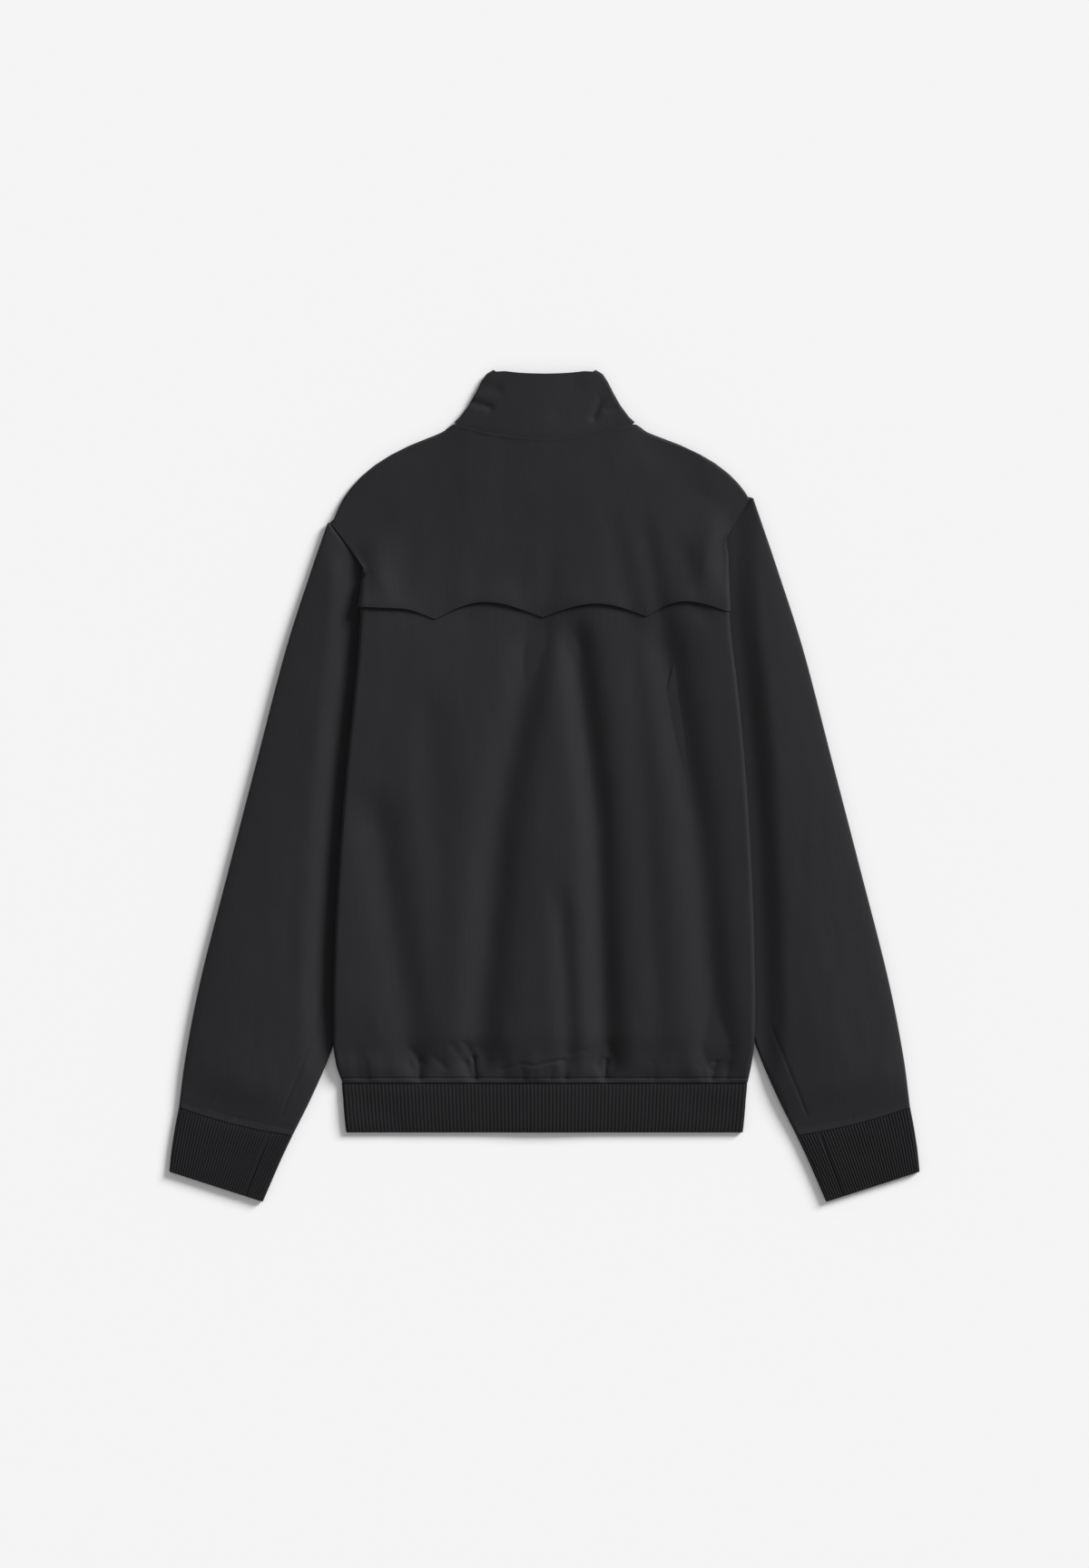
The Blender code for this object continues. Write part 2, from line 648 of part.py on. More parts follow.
def add_hem(finish):
    """The ribbed band: under the fronts, round each side and over the back."""
    rows = []
    for y, reach in HEM_ROWS:
        radius = HEM_HEIGHT / 2
        half = [((x, y, 0.0), (0.0, 0.0, -1.0)) for x in HEM_FRONT]
        for angle in FOLD_ANGLES:
            out, up = math.sin(angle), -math.cos(angle)
            half.append(((reach - radius + radius * out, y, radius * (1.0 + up)), (out, 0.0, up)))
        for share in [*HEM_BACK[1:], 0.0]:
            x = (reach - radius) * share
            half.append(((x, y, hem_level(x)), (0.0, 0.0, 1.0)))
        rows.append(mirrored_strip(half))
    add_strip("hem_rib", rows, RIB_WALL, finish)


COLLAR_SIDE_HEIGHT = 6.4
CollarBack = namedtuple("CollarBack", "seam_x seam_z top_x top_y top_z")
COLLAR_BACKS = [
    CollarBack(70.0, 7.2, 38.0, 395.0, 6.8),
    CollarBack(48.0, 8.6, 25.0, 393.6, 7.2),
    CollarBack(25.0, 9.9, 13.0, 392.9, 7.5),
    CollarBack(0.0, 10.6, 0.0, 392.6, 7.6),
]
COLLAR_SHARES = [0.0, 0.18, 0.35, 0.65, 1.0]


def add_collar(finish):
    """The stand collar, folded flat at both sides of the neck."""
    shares = [row.share for row in COLLAR_FOLDS]
    lean = np.array([0.82, 0.57])
    rows = []
    for share in COLLAR_SHARES:
        half = []
        for row in COLLAR_STATIONS:
            seam, top = np.array(row[:3]), np.array(row[3:])
            half.append((tuple(mix(seam, top, share)), (0.0, 0.0, -1.0)))
        radius = COLLAR_SIDE_HEIGHT / 2
        fold = np.array([np.interp(share, shares, [getattr(row, key) for row in COLLAR_FOLDS]) for key in "xy"])
        for angle in FOLD_ANGLES:
            out, up = math.sin(angle), -math.cos(angle)
            plan = fold + lean * radius * (out - 1.0)
            half.append(((*plan, radius * (1.0 + up)), (*(lean * out), up)))
        for row in COLLAR_BACKS:
            seam = np.array([row.seam_x, float(top_edge_y(row.seam_x)) + COLLAR_SEAM_GAP, row.seam_z])
            top = np.array([row.top_x, row.top_y, row.top_z])
            half.append((tuple(mix(seam, top, share)), (0.0, 0.0, 1.0)))
        rows.append(mirrored_strip(half))
    add_strip("collar", rows, SHELL_WALL, finish)


# ---------------------------------------------------------------- zip

TAPE = {"reach": 14.0, "low": 2.7, "high": 3.3}
CHAIN = {"reach": 2.6, "low": 2.1, "high": 3.9}
CHAIN_ROWS = [HEM_END_Y, HEM_SEAM_Y, 225.0, 240.0, 250.0, 260.0, 275.0, 316.3]
SLIDER_Y = (305.0, 316.6, 319.0)
SLIDER_REACH = 4.8
SLIDER_PLATES = (2.8, 3.7, 6.1, 6.9)
CROWN_REACH = 1.4
CROWN_Y = (307.5, 308.5, 313.5, 314.5)
CROWN_Z = (0.6, 1.4, 3.2)
TAB_PIVOT = (311.0, 2.1)
TAB_REACH = 3.2
TAB_LENGTH = 26.0
TAB_HALF_THICKNESS = 0.5
TAB_BAR = 0.4
TAB_WINDOW = (2.0, 8.0)


def extrude(name, outline, across, finish, place=(0.0, 0.0, 0.0)):
    """An outline in Y and Z, given a width along X."""
    bm = bmesh.new()
    ends = [[bm.verts.new(np.array((x, y, z)) * MM) for y, z in outline] for x in (-across, across)]
    count = len(outline)
    bm.faces.new(ends[0])
    bm.faces.new(ends[1][::-1])
    for k in range(count):
        n = (k + 1) % count
        bm.faces.new((ends[0][n], ends[0][k], ends[1][k], ends[1][n]))
    made = add_object(name, bm, finish)
    made.location = np.array(place) * MM
    return made


def combine(base, other, operation):
    """Joins or cuts one solid with another, which then stays as a hidden helper."""
    modifier = base.modifiers.new(other.name, "BOOLEAN")
    modifier.operation = operation
    modifier.object = other
    other.hide_render = True
    other.display_type = "WIRE"


def add_zip_chain(tape):
    """Both tapes and the closed chain between them, as one strip of constant section."""
    half = [(TAPE["reach"], TAPE["low"]), (CHAIN["reach"], TAPE["low"]), (CHAIN["reach"], CHAIN["low"])]
    lower = [(-x, z) for x, z in half] + half[::-1]
    half_top = [(TAPE["reach"], TAPE["high"]), (CHAIN["reach"], TAPE["high"]), (CHAIN["reach"], CHAIN["high"])]
    section = lower + half_top + [(-x, z) for x, z in half_top[::-1]]
    bm = bmesh.new()
    rings = []
    for y in CHAIN_ROWS:
        lift = float(zip_lift(0.0, y))
        rings.append([bm.verts.new(np.array((x, y, z + lift)) * MM) for x, z in section])
    count = len(section)
    bm.faces.new(rings[0])
    bm.faces.new(rings[-1][::-1])
    for first, second in zip(rings, rings[1:]):
        for k in range(count):
            n = (k + 1) % count
            bm.faces.new((first[n], first[k], second[k], second[n]))
    add_object("zip_chain", bm, tape)


def add_slider(metal):
    """Two plates joined at their upper end, and a crown that holds the pull tab."""
    start, post, end = SLIDER_Y
    low, low_top, high, high_top = SLIDER_PLATES
    body = [(start, low), (end, low), (end, high_top), (start, high_top),
            (start, high), (post, high), (post, low_top), (start, low_top)]
    slider = extrude("zip_slider", body, SLIDER_REACH, metal)
    a, b, c, d = CROWN_Y
    bottom, inside, sunk = CROWN_Z
    crown = [(a, bottom), (d, bottom), (d, sunk), (c, sunk), (c, inside), (b, inside), (b, sunk), (a, sunk)]
    combine(slider, extrude("crown", crown, CROWN_REACH, metal), "UNION")


def add_pull_tab(metal):
    """A flat tab whose end bar turns under the slider's crown. Its origin is on the bar's axis."""
    y, z = TAB_PIVOT
    place = (0.0, y, z)
    thick = TAB_HALF_THICKNESS
    plate = [(-TAB_LENGTH, -thick), (TAB_BAR, -thick), (TAB_BAR, thick), (-TAB_LENGTH, thick)]
    tab = extrude("zip_pull_tab", plate, TAB_REACH, metal, place)
    half, far = TAB_WINDOW
    window = [(-far, -2.0), (-TAB_BAR, -2.0), (-TAB_BAR, 2.0), (-far, 2.0)]
    combine(tab, extrude("tab_window", window, half, metal, place), "DIFFERENCE")


def clear_scene():
    """Removes the startup objects."""
    for old in list(bpy.data.objects):
        bpy.data.objects.remove(old, do_unlink=True)


def main():
    clear_scene()
    cloth = material("black_cotton", (0.022, 0.022, 0.024), 0.85)
    rib = material("black_rib_knit", (0.016, 0.016, 0.018), 0.9)
    add_back_and_yoke(cloth)
    add_front(LEFT, "front_left", cloth)
    add_front(RIGHT, "front_right", cloth)
    add_sleeve(LEFT, "sleeve_left", cloth)
    add_sleeve(RIGHT, "sleeve_right", cloth)
    add_cuff(LEFT, "cuff_left", rib)
    add_cuff(RIGHT, "cuff_right", rib)
    add_hem(rib)
    add_collar(cloth)
    metal = material("black_metal", (0.03, 0.03, 0.032), 0.35, 1.0)
    tape = material("black_tape", (0.018, 0.018, 0.02), 0.8)
    add_zip_chain(tape)
    add_slider(metal)
    add_pull_tab(metal)


main()
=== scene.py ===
"""Looks of a harrington jacket laid flat on its front: cloth, ribs, stitches, finishes, light and camera."""

from __future__ import annotations

import logging
import math
from collections.abc import Callable
from dataclasses import dataclass
from enum import Enum
from typing import NamedTuple

import bpy
import mathutils.noise
import numpy as np
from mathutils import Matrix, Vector

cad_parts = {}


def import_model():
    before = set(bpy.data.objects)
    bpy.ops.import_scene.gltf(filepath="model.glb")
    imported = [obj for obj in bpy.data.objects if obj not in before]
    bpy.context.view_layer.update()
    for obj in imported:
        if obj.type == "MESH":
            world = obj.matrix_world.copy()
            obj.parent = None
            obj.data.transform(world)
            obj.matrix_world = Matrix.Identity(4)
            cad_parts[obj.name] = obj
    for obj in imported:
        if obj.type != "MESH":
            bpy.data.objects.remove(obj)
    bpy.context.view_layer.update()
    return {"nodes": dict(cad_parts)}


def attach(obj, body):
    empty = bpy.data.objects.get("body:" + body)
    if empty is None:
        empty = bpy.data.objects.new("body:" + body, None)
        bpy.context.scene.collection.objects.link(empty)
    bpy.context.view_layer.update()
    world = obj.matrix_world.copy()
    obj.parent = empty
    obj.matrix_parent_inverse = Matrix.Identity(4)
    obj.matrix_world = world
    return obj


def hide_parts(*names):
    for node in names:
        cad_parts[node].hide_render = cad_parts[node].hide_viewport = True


LOG = logging.getLogger("harrington_jacket")
MM = 0.001
BODY = "jacket"
HEM_SEAM_Y = -286.0
HEM_END_Y = -333.6
ARMPIT = (108.0, 35.0)
SIDE_SEAM_AT_HEM = 150.0
ARMHOLE_BOW = 16.0
SLEEVE_UNDER_BODY = 4.6
TUCK_FACE = 4.9
SLIDER_LIFT = 1.9
COLLAR_SIDE_X = 86.5
# Blender's wave texture, at the scale used here, repeats each time its coordinate grows by this.
WAVE_PERIOD = math.pi / 5
# The uneven yarn shows as streaks this wide and this long, in millimetres.
SLUB_SIZE = (1.111, 38.46)


class Side(Enum):
    """Which half of the jacket a piece belongs to, as the sign of its X."""

    LEFT = -1
    RIGHT = 1

    @property
    def label(self) -> str:
        """The side's name, as the pieces carry it."""
        return self.name.lower()


SHOULDER_TIP = {Side.LEFT: (207.0, 250.0), Side.RIGHT: (199.0, 274.0)}


class SideFold(NamedTuple):
    """The fold at the body's side, in millimetres, at one height up the back."""

    y: float
    left: float
    right: float
    height: float


SIDE_FOLDS = (
    SideFold(-286.0, 193.5, 194.5, 5.6),
    SideFold(-274.0, 198.0, 197.0, 8.0),
    SideFold(-255.0, 201.5, 200.0, 10.5),
    SideFold(-231.0, 202.0, 201.0, 13.0),
    SideFold(-166.0, 201.0, 200.5, 15.0),
    SideFold(-68.0, 196.0, 197.0, 15.4),
    SideFold(30.0, 188.0, 190.5, 15.4),
    SideFold(96.0, 181.0, 184.0, 15.2),
    SideFold(145.0, 177.0, 178.0, 15.0),
    SideFold(204.0, 174.0, 175.0, 14.7),
    SideFold(240.0, 172.0, 174.0, 14.6),
)


class Scallop(NamedTuple):
    """A turning point of the yoke's edge: the points that hang down, and the crests between."""

    x: float
    y: float
    hangs: bool


SCALLOPS = (
    Scallop(-176.0, 169.0, False),
    Scallop(-140.0, 167.6, False),
    Scallop(-105.0, 157.5, True),
    Scallop(-58.0, 174.0, False),
    Scallop(-2.0, 159.6, True),
    Scallop(49.0, 172.5, False),
    Scallop(97.0, 160.4, True),
    Scallop(133.0, 174.6, False),
    Scallop(178.0, 164.0, True),
)


class EdgePoint(NamedTuple):
    """A point on the neck seam or on the shoulder's outline."""

    x: float
    y: float


TOP_EDGES = tuple(EdgePoint(*row) for row in (
    (0.0, 330.6), (28.0, 332.6), (54.0, 336.6), (72.0, 341.2), (82.0, 344.2), (88.0, 343.6), (96.0, 338.4),
    (105.0, 334.6), (130.0, 325.4), (148.0, 317.4), (163.0, 309.2), (176.0, 300.0), (185.0, 291.8),
    (192.5, 283.0), (197.5, 274.5), (202.0, 265.0), (210.0, 248.0),
))


class Trough(NamedTuple):
    """A soft hollow that hangs from the yoke to the hem: its X at three heights, width, depth and top."""

    top_x: float
    middle_x: float
    bottom_x: float
    width: float
    depth: float
    starts: float


TROUGHS = (
    Trough(-6.0, -44.0, -66.0, 19.0, 7.6, 172.0),
    Trough(28.0, 50.0, 60.0, 15.0, 8.2, 172.0),
    Trough(112.0, 145.0, 168.0, 17.0, 6.2, 170.0),
    Trough(-172.0, -160.0, -121.0, 20.0, 5.6, 0.0),
    Trough(14.0, 12.0, 26.0, 10.0, 3.0, -90.0),
    Trough(-112.0, -106.0, -92.0, 18.0, 1.6, 100.0),
    Trough(84.0, 98.0, 112.0, 12.0, 1.4, 150.0),
)


def smooth(value: float | np.ndarray, low: float, high: float) -> float | np.ndarray:
    """A soft step from 0 at low to 1 at high.

    Args:
        value: Where the step is read.
        low: Where it starts.
        high: Where it ends.

    Returns:
        The step's height there.
    """
    share = np.clip((value - low) / (high - low), 0.0, 1.0)
    return share * share * (3.0 - 2.0 * share)


def mix(first: float, second: float, share: float) -> float:
    """The value this share of the way from first to second."""
    return first + (second - first) * share


def bell(value: float | np.ndarray, centre: float, width: float) -> float | np.ndarray:
    """A soft bump of height 1 at centre."""
    return np.exp(-(((value - centre) / width) ** 2))


def linear(hex_colour: str) -> tuple[float, float, float, float]:
    """A linear colour from an sRGB one, written as six hex digits."""
    parts = [int(hex_colour[k:k + 2], 16) / 255 for k in (0, 2, 4)]
    return (*[c / 12.92 if c <= 0.04045 else ((c + 0.055) / 1.055) ** 2.4 for c in parts], 1.0)


def curve_value(y: float, rows: tuple, key: str) -> float:
    """A table's column at this Y, on a smooth curve through its rows."""
    ys = np.array([row.y for row in rows])
    values = np.array([getattr(row, key) for row in rows])
    slopes = np.gradient(values, ys)
    k = int(np.clip(np.searchsorted(ys, y) - 1, 0, len(ys) - 2))
    span = ys[k + 1] - ys[k]
    t = float(np.clip((y - ys[k]) / span, 0.0, 1.0))
    return float((2 * t**3 - 3 * t**2 + 1) * values[k] + (t**3 - 2 * t**2 + t) * span * slopes[k]
                 + (-2 * t**3 + 3 * t**2) * values[k + 1] + (t**3 - t**2) * span * slopes[k + 1])


def slider_rise(y: float) -> float:
    """How far up the rise beside the zip's slider this Y lies, from 0 to 1."""
    return float(smooth(y, 225.0, 275.0))


def clear_of_hem(y: float) -> float:
    """How far clear of the hem rib this Y lies, from 0 to 1."""
    return float(smooth(y, HEM_SEAM_Y + 6.0, HEM_SEAM_Y + 42.0))


def fold_of(side: Side, y: float) -> tuple[float, float]:
    """The side fold's reach and height at this Y."""
    y = float(np.clip(y, SIDE_FOLDS[0].y, SIDE_FOLDS[-1].y))
    return curve_value(y, SIDE_FOLDS, side.label), curve_value(y, SIDE_FOLDS, "height")


def armhole(side: Side, share: float | np.ndarray) -> np.ndarray:
    """Points in plan up the armhole, from the armpit to the shoulder."""
    start, end = np.array(ARMPIT), np.array(SHOULDER_TIP[side])
    chord = end - start
    inward = np.array([-chord[1], chord[0]]) / np.hypot(*chord)
    share = np.asarray(share)[..., None]
    return start + chord * share + inward * ARMHOLE_BOW * 4.0 * share * (1.0 - share)


ARMHOLES = {side: armhole(side, np.linspace(0.0, 1.0, 81)) for side in Side}


def seam_x(side: Side, y: float) -> float:
    """Where the back's turned-under edge lies at this Y."""
    if y > ARMPIT[1]:
        return float(np.interp(y, ARMHOLES[side][:, 1], ARMHOLES[side][:, 0]))
    return mix(ARMPIT[0], SIDE_SEAM_AT_HEM, (ARMPIT[1] - y) / (ARMPIT[1] - HEM_SEAM_Y))


def top_edge_y(x: float) -> float:
    """The height of the neck seam or of the shoulder's outline."""
    return float(np.interp(abs(x), [row.x for row in TOP_EDGES], [row.y for row in TOP_EDGES]))


def scallop_y(x: float) -> float:
    """The height of the yoke's edge: arches that spring from hanging points."""
    for first, second in zip(SCALLOPS, SCALLOPS[1:]):
        if x <= second.x:
            break
    share = float(np.clip((x - first.x) / (second.x - first.x), 0.0, 1.0))
    if first.hangs:
        return mix(first.y, second.y, math.sin(share * math.pi / 2) ** 1.1)
    if second.hangs:
        return mix(second.y, first.y, math.sin((1.0 - share) * math.pi / 2) ** 1.1)
    return mix(first.y, second.y, share)


def arc(turn: float, length: float, share: float) -> tuple[float, float]:
    """How far forward and down a strip has come, part of the way round its curl."""
    if turn < 0.02:
        return length * share, 0.0
    radius = length / turn
    return radius * math.sin(turn * share), radius * (1.0 - math.cos(turn * share))


@dataclass(frozen=True)
class ClothFinish:
    """A woven or knitted cloth: its colours, thread spacing in millimetres, and surface."""

    name: str
    dark: str
    light: str
    thread_spacing: float
    roughness: float
    sheen: float
    bump: float

    def build(self) -> bpy.types.Material:
        """Makes the material."""
        made = bpy.data.materials.new(self.name)
        made.use_nodes = True
        tree = made.node_tree
        shader = tree.nodes["Principled BSDF"]
        shader.inputs["Roughness"].default_value = self.roughness
        shader.inputs["Specular IOR Level"].default_value = 0.15
        shader.inputs["Sheen Weight"].default_value = self.sheen
        shader.inputs["Sheen Roughness"].default_value = 0.45
        coords = add_node(tree, "ShaderNodeTexCoord")
        scaled = add_node(tree, "ShaderNodeMapping", Scale=(WAVE_PERIOD / (self.thread_spacing * MM),) * 3)
        tree.links.new(coords.outputs["UV"], scaled.inputs["Vector"])
        warp = add_node(tree, "ShaderNodeTexWave", Scale=0.5, Distortion=0.6, Detail=1.0)
        weft = add_node(tree, "ShaderNodeTexWave", Scale=0.5, Distortion=0.6, Detail=1.0)
        weft.bands_direction = "Y"
        for wave in (warp, weft):
            tree.links.new(scaled.outputs["Vector"], wave.inputs["Vector"])
        crossed = add_node(tree, "ShaderNodeMath")
        crossed.operation = "MULTIPLY"
        tree.links.new(warp.outputs["Fac"], crossed.inputs[0])
        tree.links.new(weft.outputs["Fac"], crossed.inputs[1])
        across, along = (1.0 / (size * MM) for size in SLUB_SIZE)
        streaks = add_node(tree, "ShaderNodeMapping", Scale=(across, along, across))
        tree.links.new(coords.outputs["UV"], streaks.inputs["Vector"])
        slub = add_node(tree, "ShaderNodeTexNoise", Scale=1.0, Detail=3.0)
        tree.links.new(streaks.outputs["Vector"], slub.inputs["Vector"])
        colour = add_node(tree, "ShaderNodeMix")
        colour.data_type = "RGBA"
        colour.inputs["A"].default_value = linear(self.dark)
        colour.inputs["B"].default_value = linear(self.light)
        tree.links.new(slub.outputs["Fac"], colour.inputs["Factor"])
        tree.links.new(colour.outputs["Result"], shader.inputs["Base Color"])
        height = add_node(tree, "ShaderNodeMath")
        height.operation = "ADD"
        tree.links.new(crossed.outputs[0], height.inputs[0])
        tree.links.new(slub.outputs["Fac"], height.inputs[1])
        relief = add_node(tree, "ShaderNodeBump", Strength=self.bump, Distance=0.0002)
        tree.links.new(height.outputs[0], relief.inputs["Height"])
        tree.links.new(relief.outputs["Normal"], shader.inputs["Normal"])
        return made


def add_node(tree: bpy.types.NodeTree, kind: str, **values: float | tuple) -> bpy.types.Node:
    """Adds a node and sets its named inputs.

    Args:
        tree: The material's node tree.
        kind: The node's type name.
        **values: Input names, with _ for spaces, and their values.

    Returns:
        The new node.
    """
    node = tree.nodes.new(kind)
    for name, value in values.items():
        node.inputs[name.replace("_", " ")].default_value = value
    return node


# Woven, then dyed as cloth: a dull black with faint lengthwise streaks and hardly any shine.
SHELL = ClothFinish("black_cotton_twill", "1E1E20", "262629", 0.262, 0.72, 0.04, 0.35)
# Knitted in ribs: matt, and coloured darker than the twill as painted shade for the light that its loops
# hold.
RIB = ClothFinish("black_rib_knit", "19191B", "1F1F21", 0.349, 0.85, 0.02, 0.5)
# Woven from filament and heat-set: a flat, even black.
TAPE = ClothFinish("black_zip_tape", "1F1F20", "262627", 0.314, 0.8, 0.1, 0.4)
# Spun and twisted: round, and a shade lighter, so that a row of stitches just shows.
THREAD = ClothFinish("black_thread", "242426", "2C2C2F", 0.157, 0.55, 0.1, 0.2)


@dataclass(frozen=True)
class MetalFinish:
    """Die-cast zinc with baked black enamel: a hard, softly shining dark skin."""

    name: str = "black_enamelled_zinc"
    colour: str = "1D1D1F"
    metallic: float = 0.6
    roughness: float = 0.3

    def build(self) -> bpy.types.Material:
        """Makes the material."""
        made = bpy.data.materials.new(self.name)
        made.use_nodes = True
        shader = made.node_tree.nodes["Principled BSDF"]
        shader.inputs["Base Color"].default_value = linear(self.colour)
        shader.inputs["Metallic"].default_value = self.metallic
        shader.inputs["Roughness"].default_value = self.roughness
        return made


@dataclass
class ClothGrid:
    """Rows of points on a cloth's outer face, in millimetres, and the way each one faces."""

    points: np.ndarray
    outward: np.ndarray
    tube: bool = False

    def faced(self) -> ClothGrid:
        """The same grid with its columns in the order that makes its faces point outwards."""
        i, j = self.points.shape[0] // 2, self.points.shape[1] // 4
        across = self.points[i, j + 1] - self.points[i, j]
        along = self.points[i + 1, j] - self.points[i, j]
        if np.dot(np.cross(across, along), self.outward[i, j]) > 0:
            return self
        return ClothGrid(self.points[:, ::-1], self.outward[:, ::-1], self.tube)

    def pushed(self, amount: np.ndarray | float) -> ClothGrid:
        """The grid moved outwards by this many millimetres."""
        shift = self.outward * np.asarray(amount)[..., None]
        return ClothGrid(self.points + shift, self.outward, self.tube)

    def threads(self) -> np.ndarray:
        """Lengths across and along the cloth at each point, in metres, for its UV map."""
        across = np.linalg.norm(np.diff(self.points, axis=1), axis=2)
        across = np.concatenate([np.zeros((len(across), 1)), np.cumsum(across, axis=1)], axis=1)
        across -= across[:, [across.shape[1] // 2]]
        along = np.linalg.norm(np.diff(self.points, axis=0), axis=2)
        along = np.concatenate([np.zeros((1, along.shape[1])), np.cumsum(along, axis=0)], axis=0)
        return np.stack([across, along], axis=2) * MM

    def sewn(self, name: str, finish: bpy.types.Material, wall: float) -> bpy.types.Object:
        """Makes the piece: a flat grid, shaped and then given its wall.

        Args:
            name: The piece's name.
            finish: Its material.
            wall: The cloth's thickness, in millimetres.

        Returns:
            The finished piece.
        """
        grid = self.faced()
        points, outward = np.maximum(grid.points, (-np.inf, -np.inf, 0.0)), grid.outward
        if self.tube:
            points = np.concatenate([points, points[:, :1]], axis=1)
            outward = np.concatenate([outward, outward[:, :1]], axis=1)
        lengths = ClothGrid(points, outward).threads()
        rows, columns = points.shape[:2]
        bpy.ops.object.select_all(action="DESELECT")
        bpy.ops.mesh.primitive_grid_add(x_subdivisions=columns - 1, y_subdivisions=rows - 1, size=1.0)
        piece = bpy.context.object
        piece.name = name
        piece.data.name = name
        piece.data.vertices.foreach_set("co", (points * MM).astype(np.float32).ravel())
        corners = np.empty(len(piece.data.loops), np.int32)
        piece.data.loops.foreach_get("vertex_index", corners)
        laid = lengths.reshape(-1, 2)[corners].astype(np.float32)
        piece.data.uv_layers.active.data.foreach_set("uv", laid.ravel())
        piece.data.materials.append(finish)
        if self.tube:
            bpy.ops.object.mode_set(mode="EDIT")
            bpy.ops.mesh.select_all(action="SELECT")
            bpy.ops.mesh.remove_doubles(threshold=0.000002)
            bpy.ops.object.mode_set(mode="OBJECT")
        thicken = piece.modifiers.new("wall", "SOLIDIFY")
        thicken.thickness = wall * MM
        thicken.offset = -1.0
        bpy.ops.object.modifier_apply(modifier=thicken.name)
        bpy.ops.object.shade_smooth_by_angle(angle=math.radians(60))
        return piece


def lay(piece: bpy.types.Object, node: str) -> None:
    """Attaches a cloth piece to the jacket and hides the solid that it stands for.

    Args:
        piece: The piece.
        node: The solid that it stands for.
    """
    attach(piece, BODY)
    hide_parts(node)
    LOG.info("%s: %d faces", piece.name, len(piece.data.polygons))


@dataclass(frozen=True)
class Crease:
    """A short crease between two points, in plan."""

    start_x: float
    start_y: float
    end_x: float
    end_y: float
    width: float
    depth: float

    def depth_at(self, points: np.ndarray) -> np.ndarray:
        """How far the crease lowers each point."""
        start = np.array([self.start_x, self.start_y])
        chord = np.array([self.end_x, self.end_y]) - start
        share = np.clip(((points[..., :2] - start) @ chord) / (chord @ chord), 0.0, 1.0)
        away = np.linalg.norm(points[..., :2] - start - share[..., None] * chord, axis=-1)
        return self.depth * np.exp(-((away / self.width) ** 2))


def creased(grid: ClothGrid, creases: tuple[Crease, ...]) -> ClothGrid:
    """The grid with creases pressed into the face that looks up."""
    up = grid.outward[..., 2] > 0.3
    depth = sum(crease.depth_at(grid.points) for crease in creases) * up
    points = grid.points.copy()
    points[..., 2] -= depth
    return ClothGrid(points, grid.outward, grid.tube)


HEM_CREASES = tuple(Crease(*row) for row in (
    (-76.0, -248.0, -68.0, -262.0, 2.6, 1.1), (-68.0, -262.0, -66.0, -283.0, 1.9, 2.0),
    (-74.0, -266.0, -70.5, -283.0, 1.6, 1.0), (-88.0, -250.0, -76.0, -268.0, 3.4, 0.8),
    (-121.0, -264.0, -119.0, -283.0, 2.0, 1.5), (-128.0, -254.0, -118.0, -268.0, 3.0, 0.8),
    (-106.0, -262.0, -94.0, -272.0, 3.0, 0.7), (59.5, -264.0, 58.0, -283.0, 2.0, 1.9),
    (63.0, -248.0, 60.0, -268.0, 3.2, 1.0), (-41.0, -274.0, -24.0, -268.0, 2.0, 0.7),
    (-22.0, -267.0, -8.0, -270.0, 1.8, 0.7), (-6.0, -268.0, 17.0, -264.0, 2.0, 0.8),
    (18.0, -264.0, 20.0, -283.0, 2.0, 0.9), (-21.0, -273.0, -19.0, -283.0, 1.7, 0.7),
    (-9.0, -274.0, -9.5, -283.0, 1.7, 0.7), (7.0, -271.0, 6.0, -283.0, 1.7, 0.7),
    (24.0, -258.0, 38.0, -254.0, 2.6, 0.5), (176.0, -252.0, 164.0, -266.0, 2.6, 1.0),
    (164.0, -266.0, 160.0, -283.0, 2.0, 1.3), (177.0, -268.0, 174.0, -283.0, 2.0, 0.9),
    (150.0, -270.0, 153.0, -283.0, 2.2, 0.7), (-172.0, -264.0, -169.0, -283.0, 2.6, 0.7),
    (104.0, -266.0, 106.0, -283.0, 3.0, 0.5), (-196.0, -281.4, 196.0, -281.4, 0.8, 0.9),
))


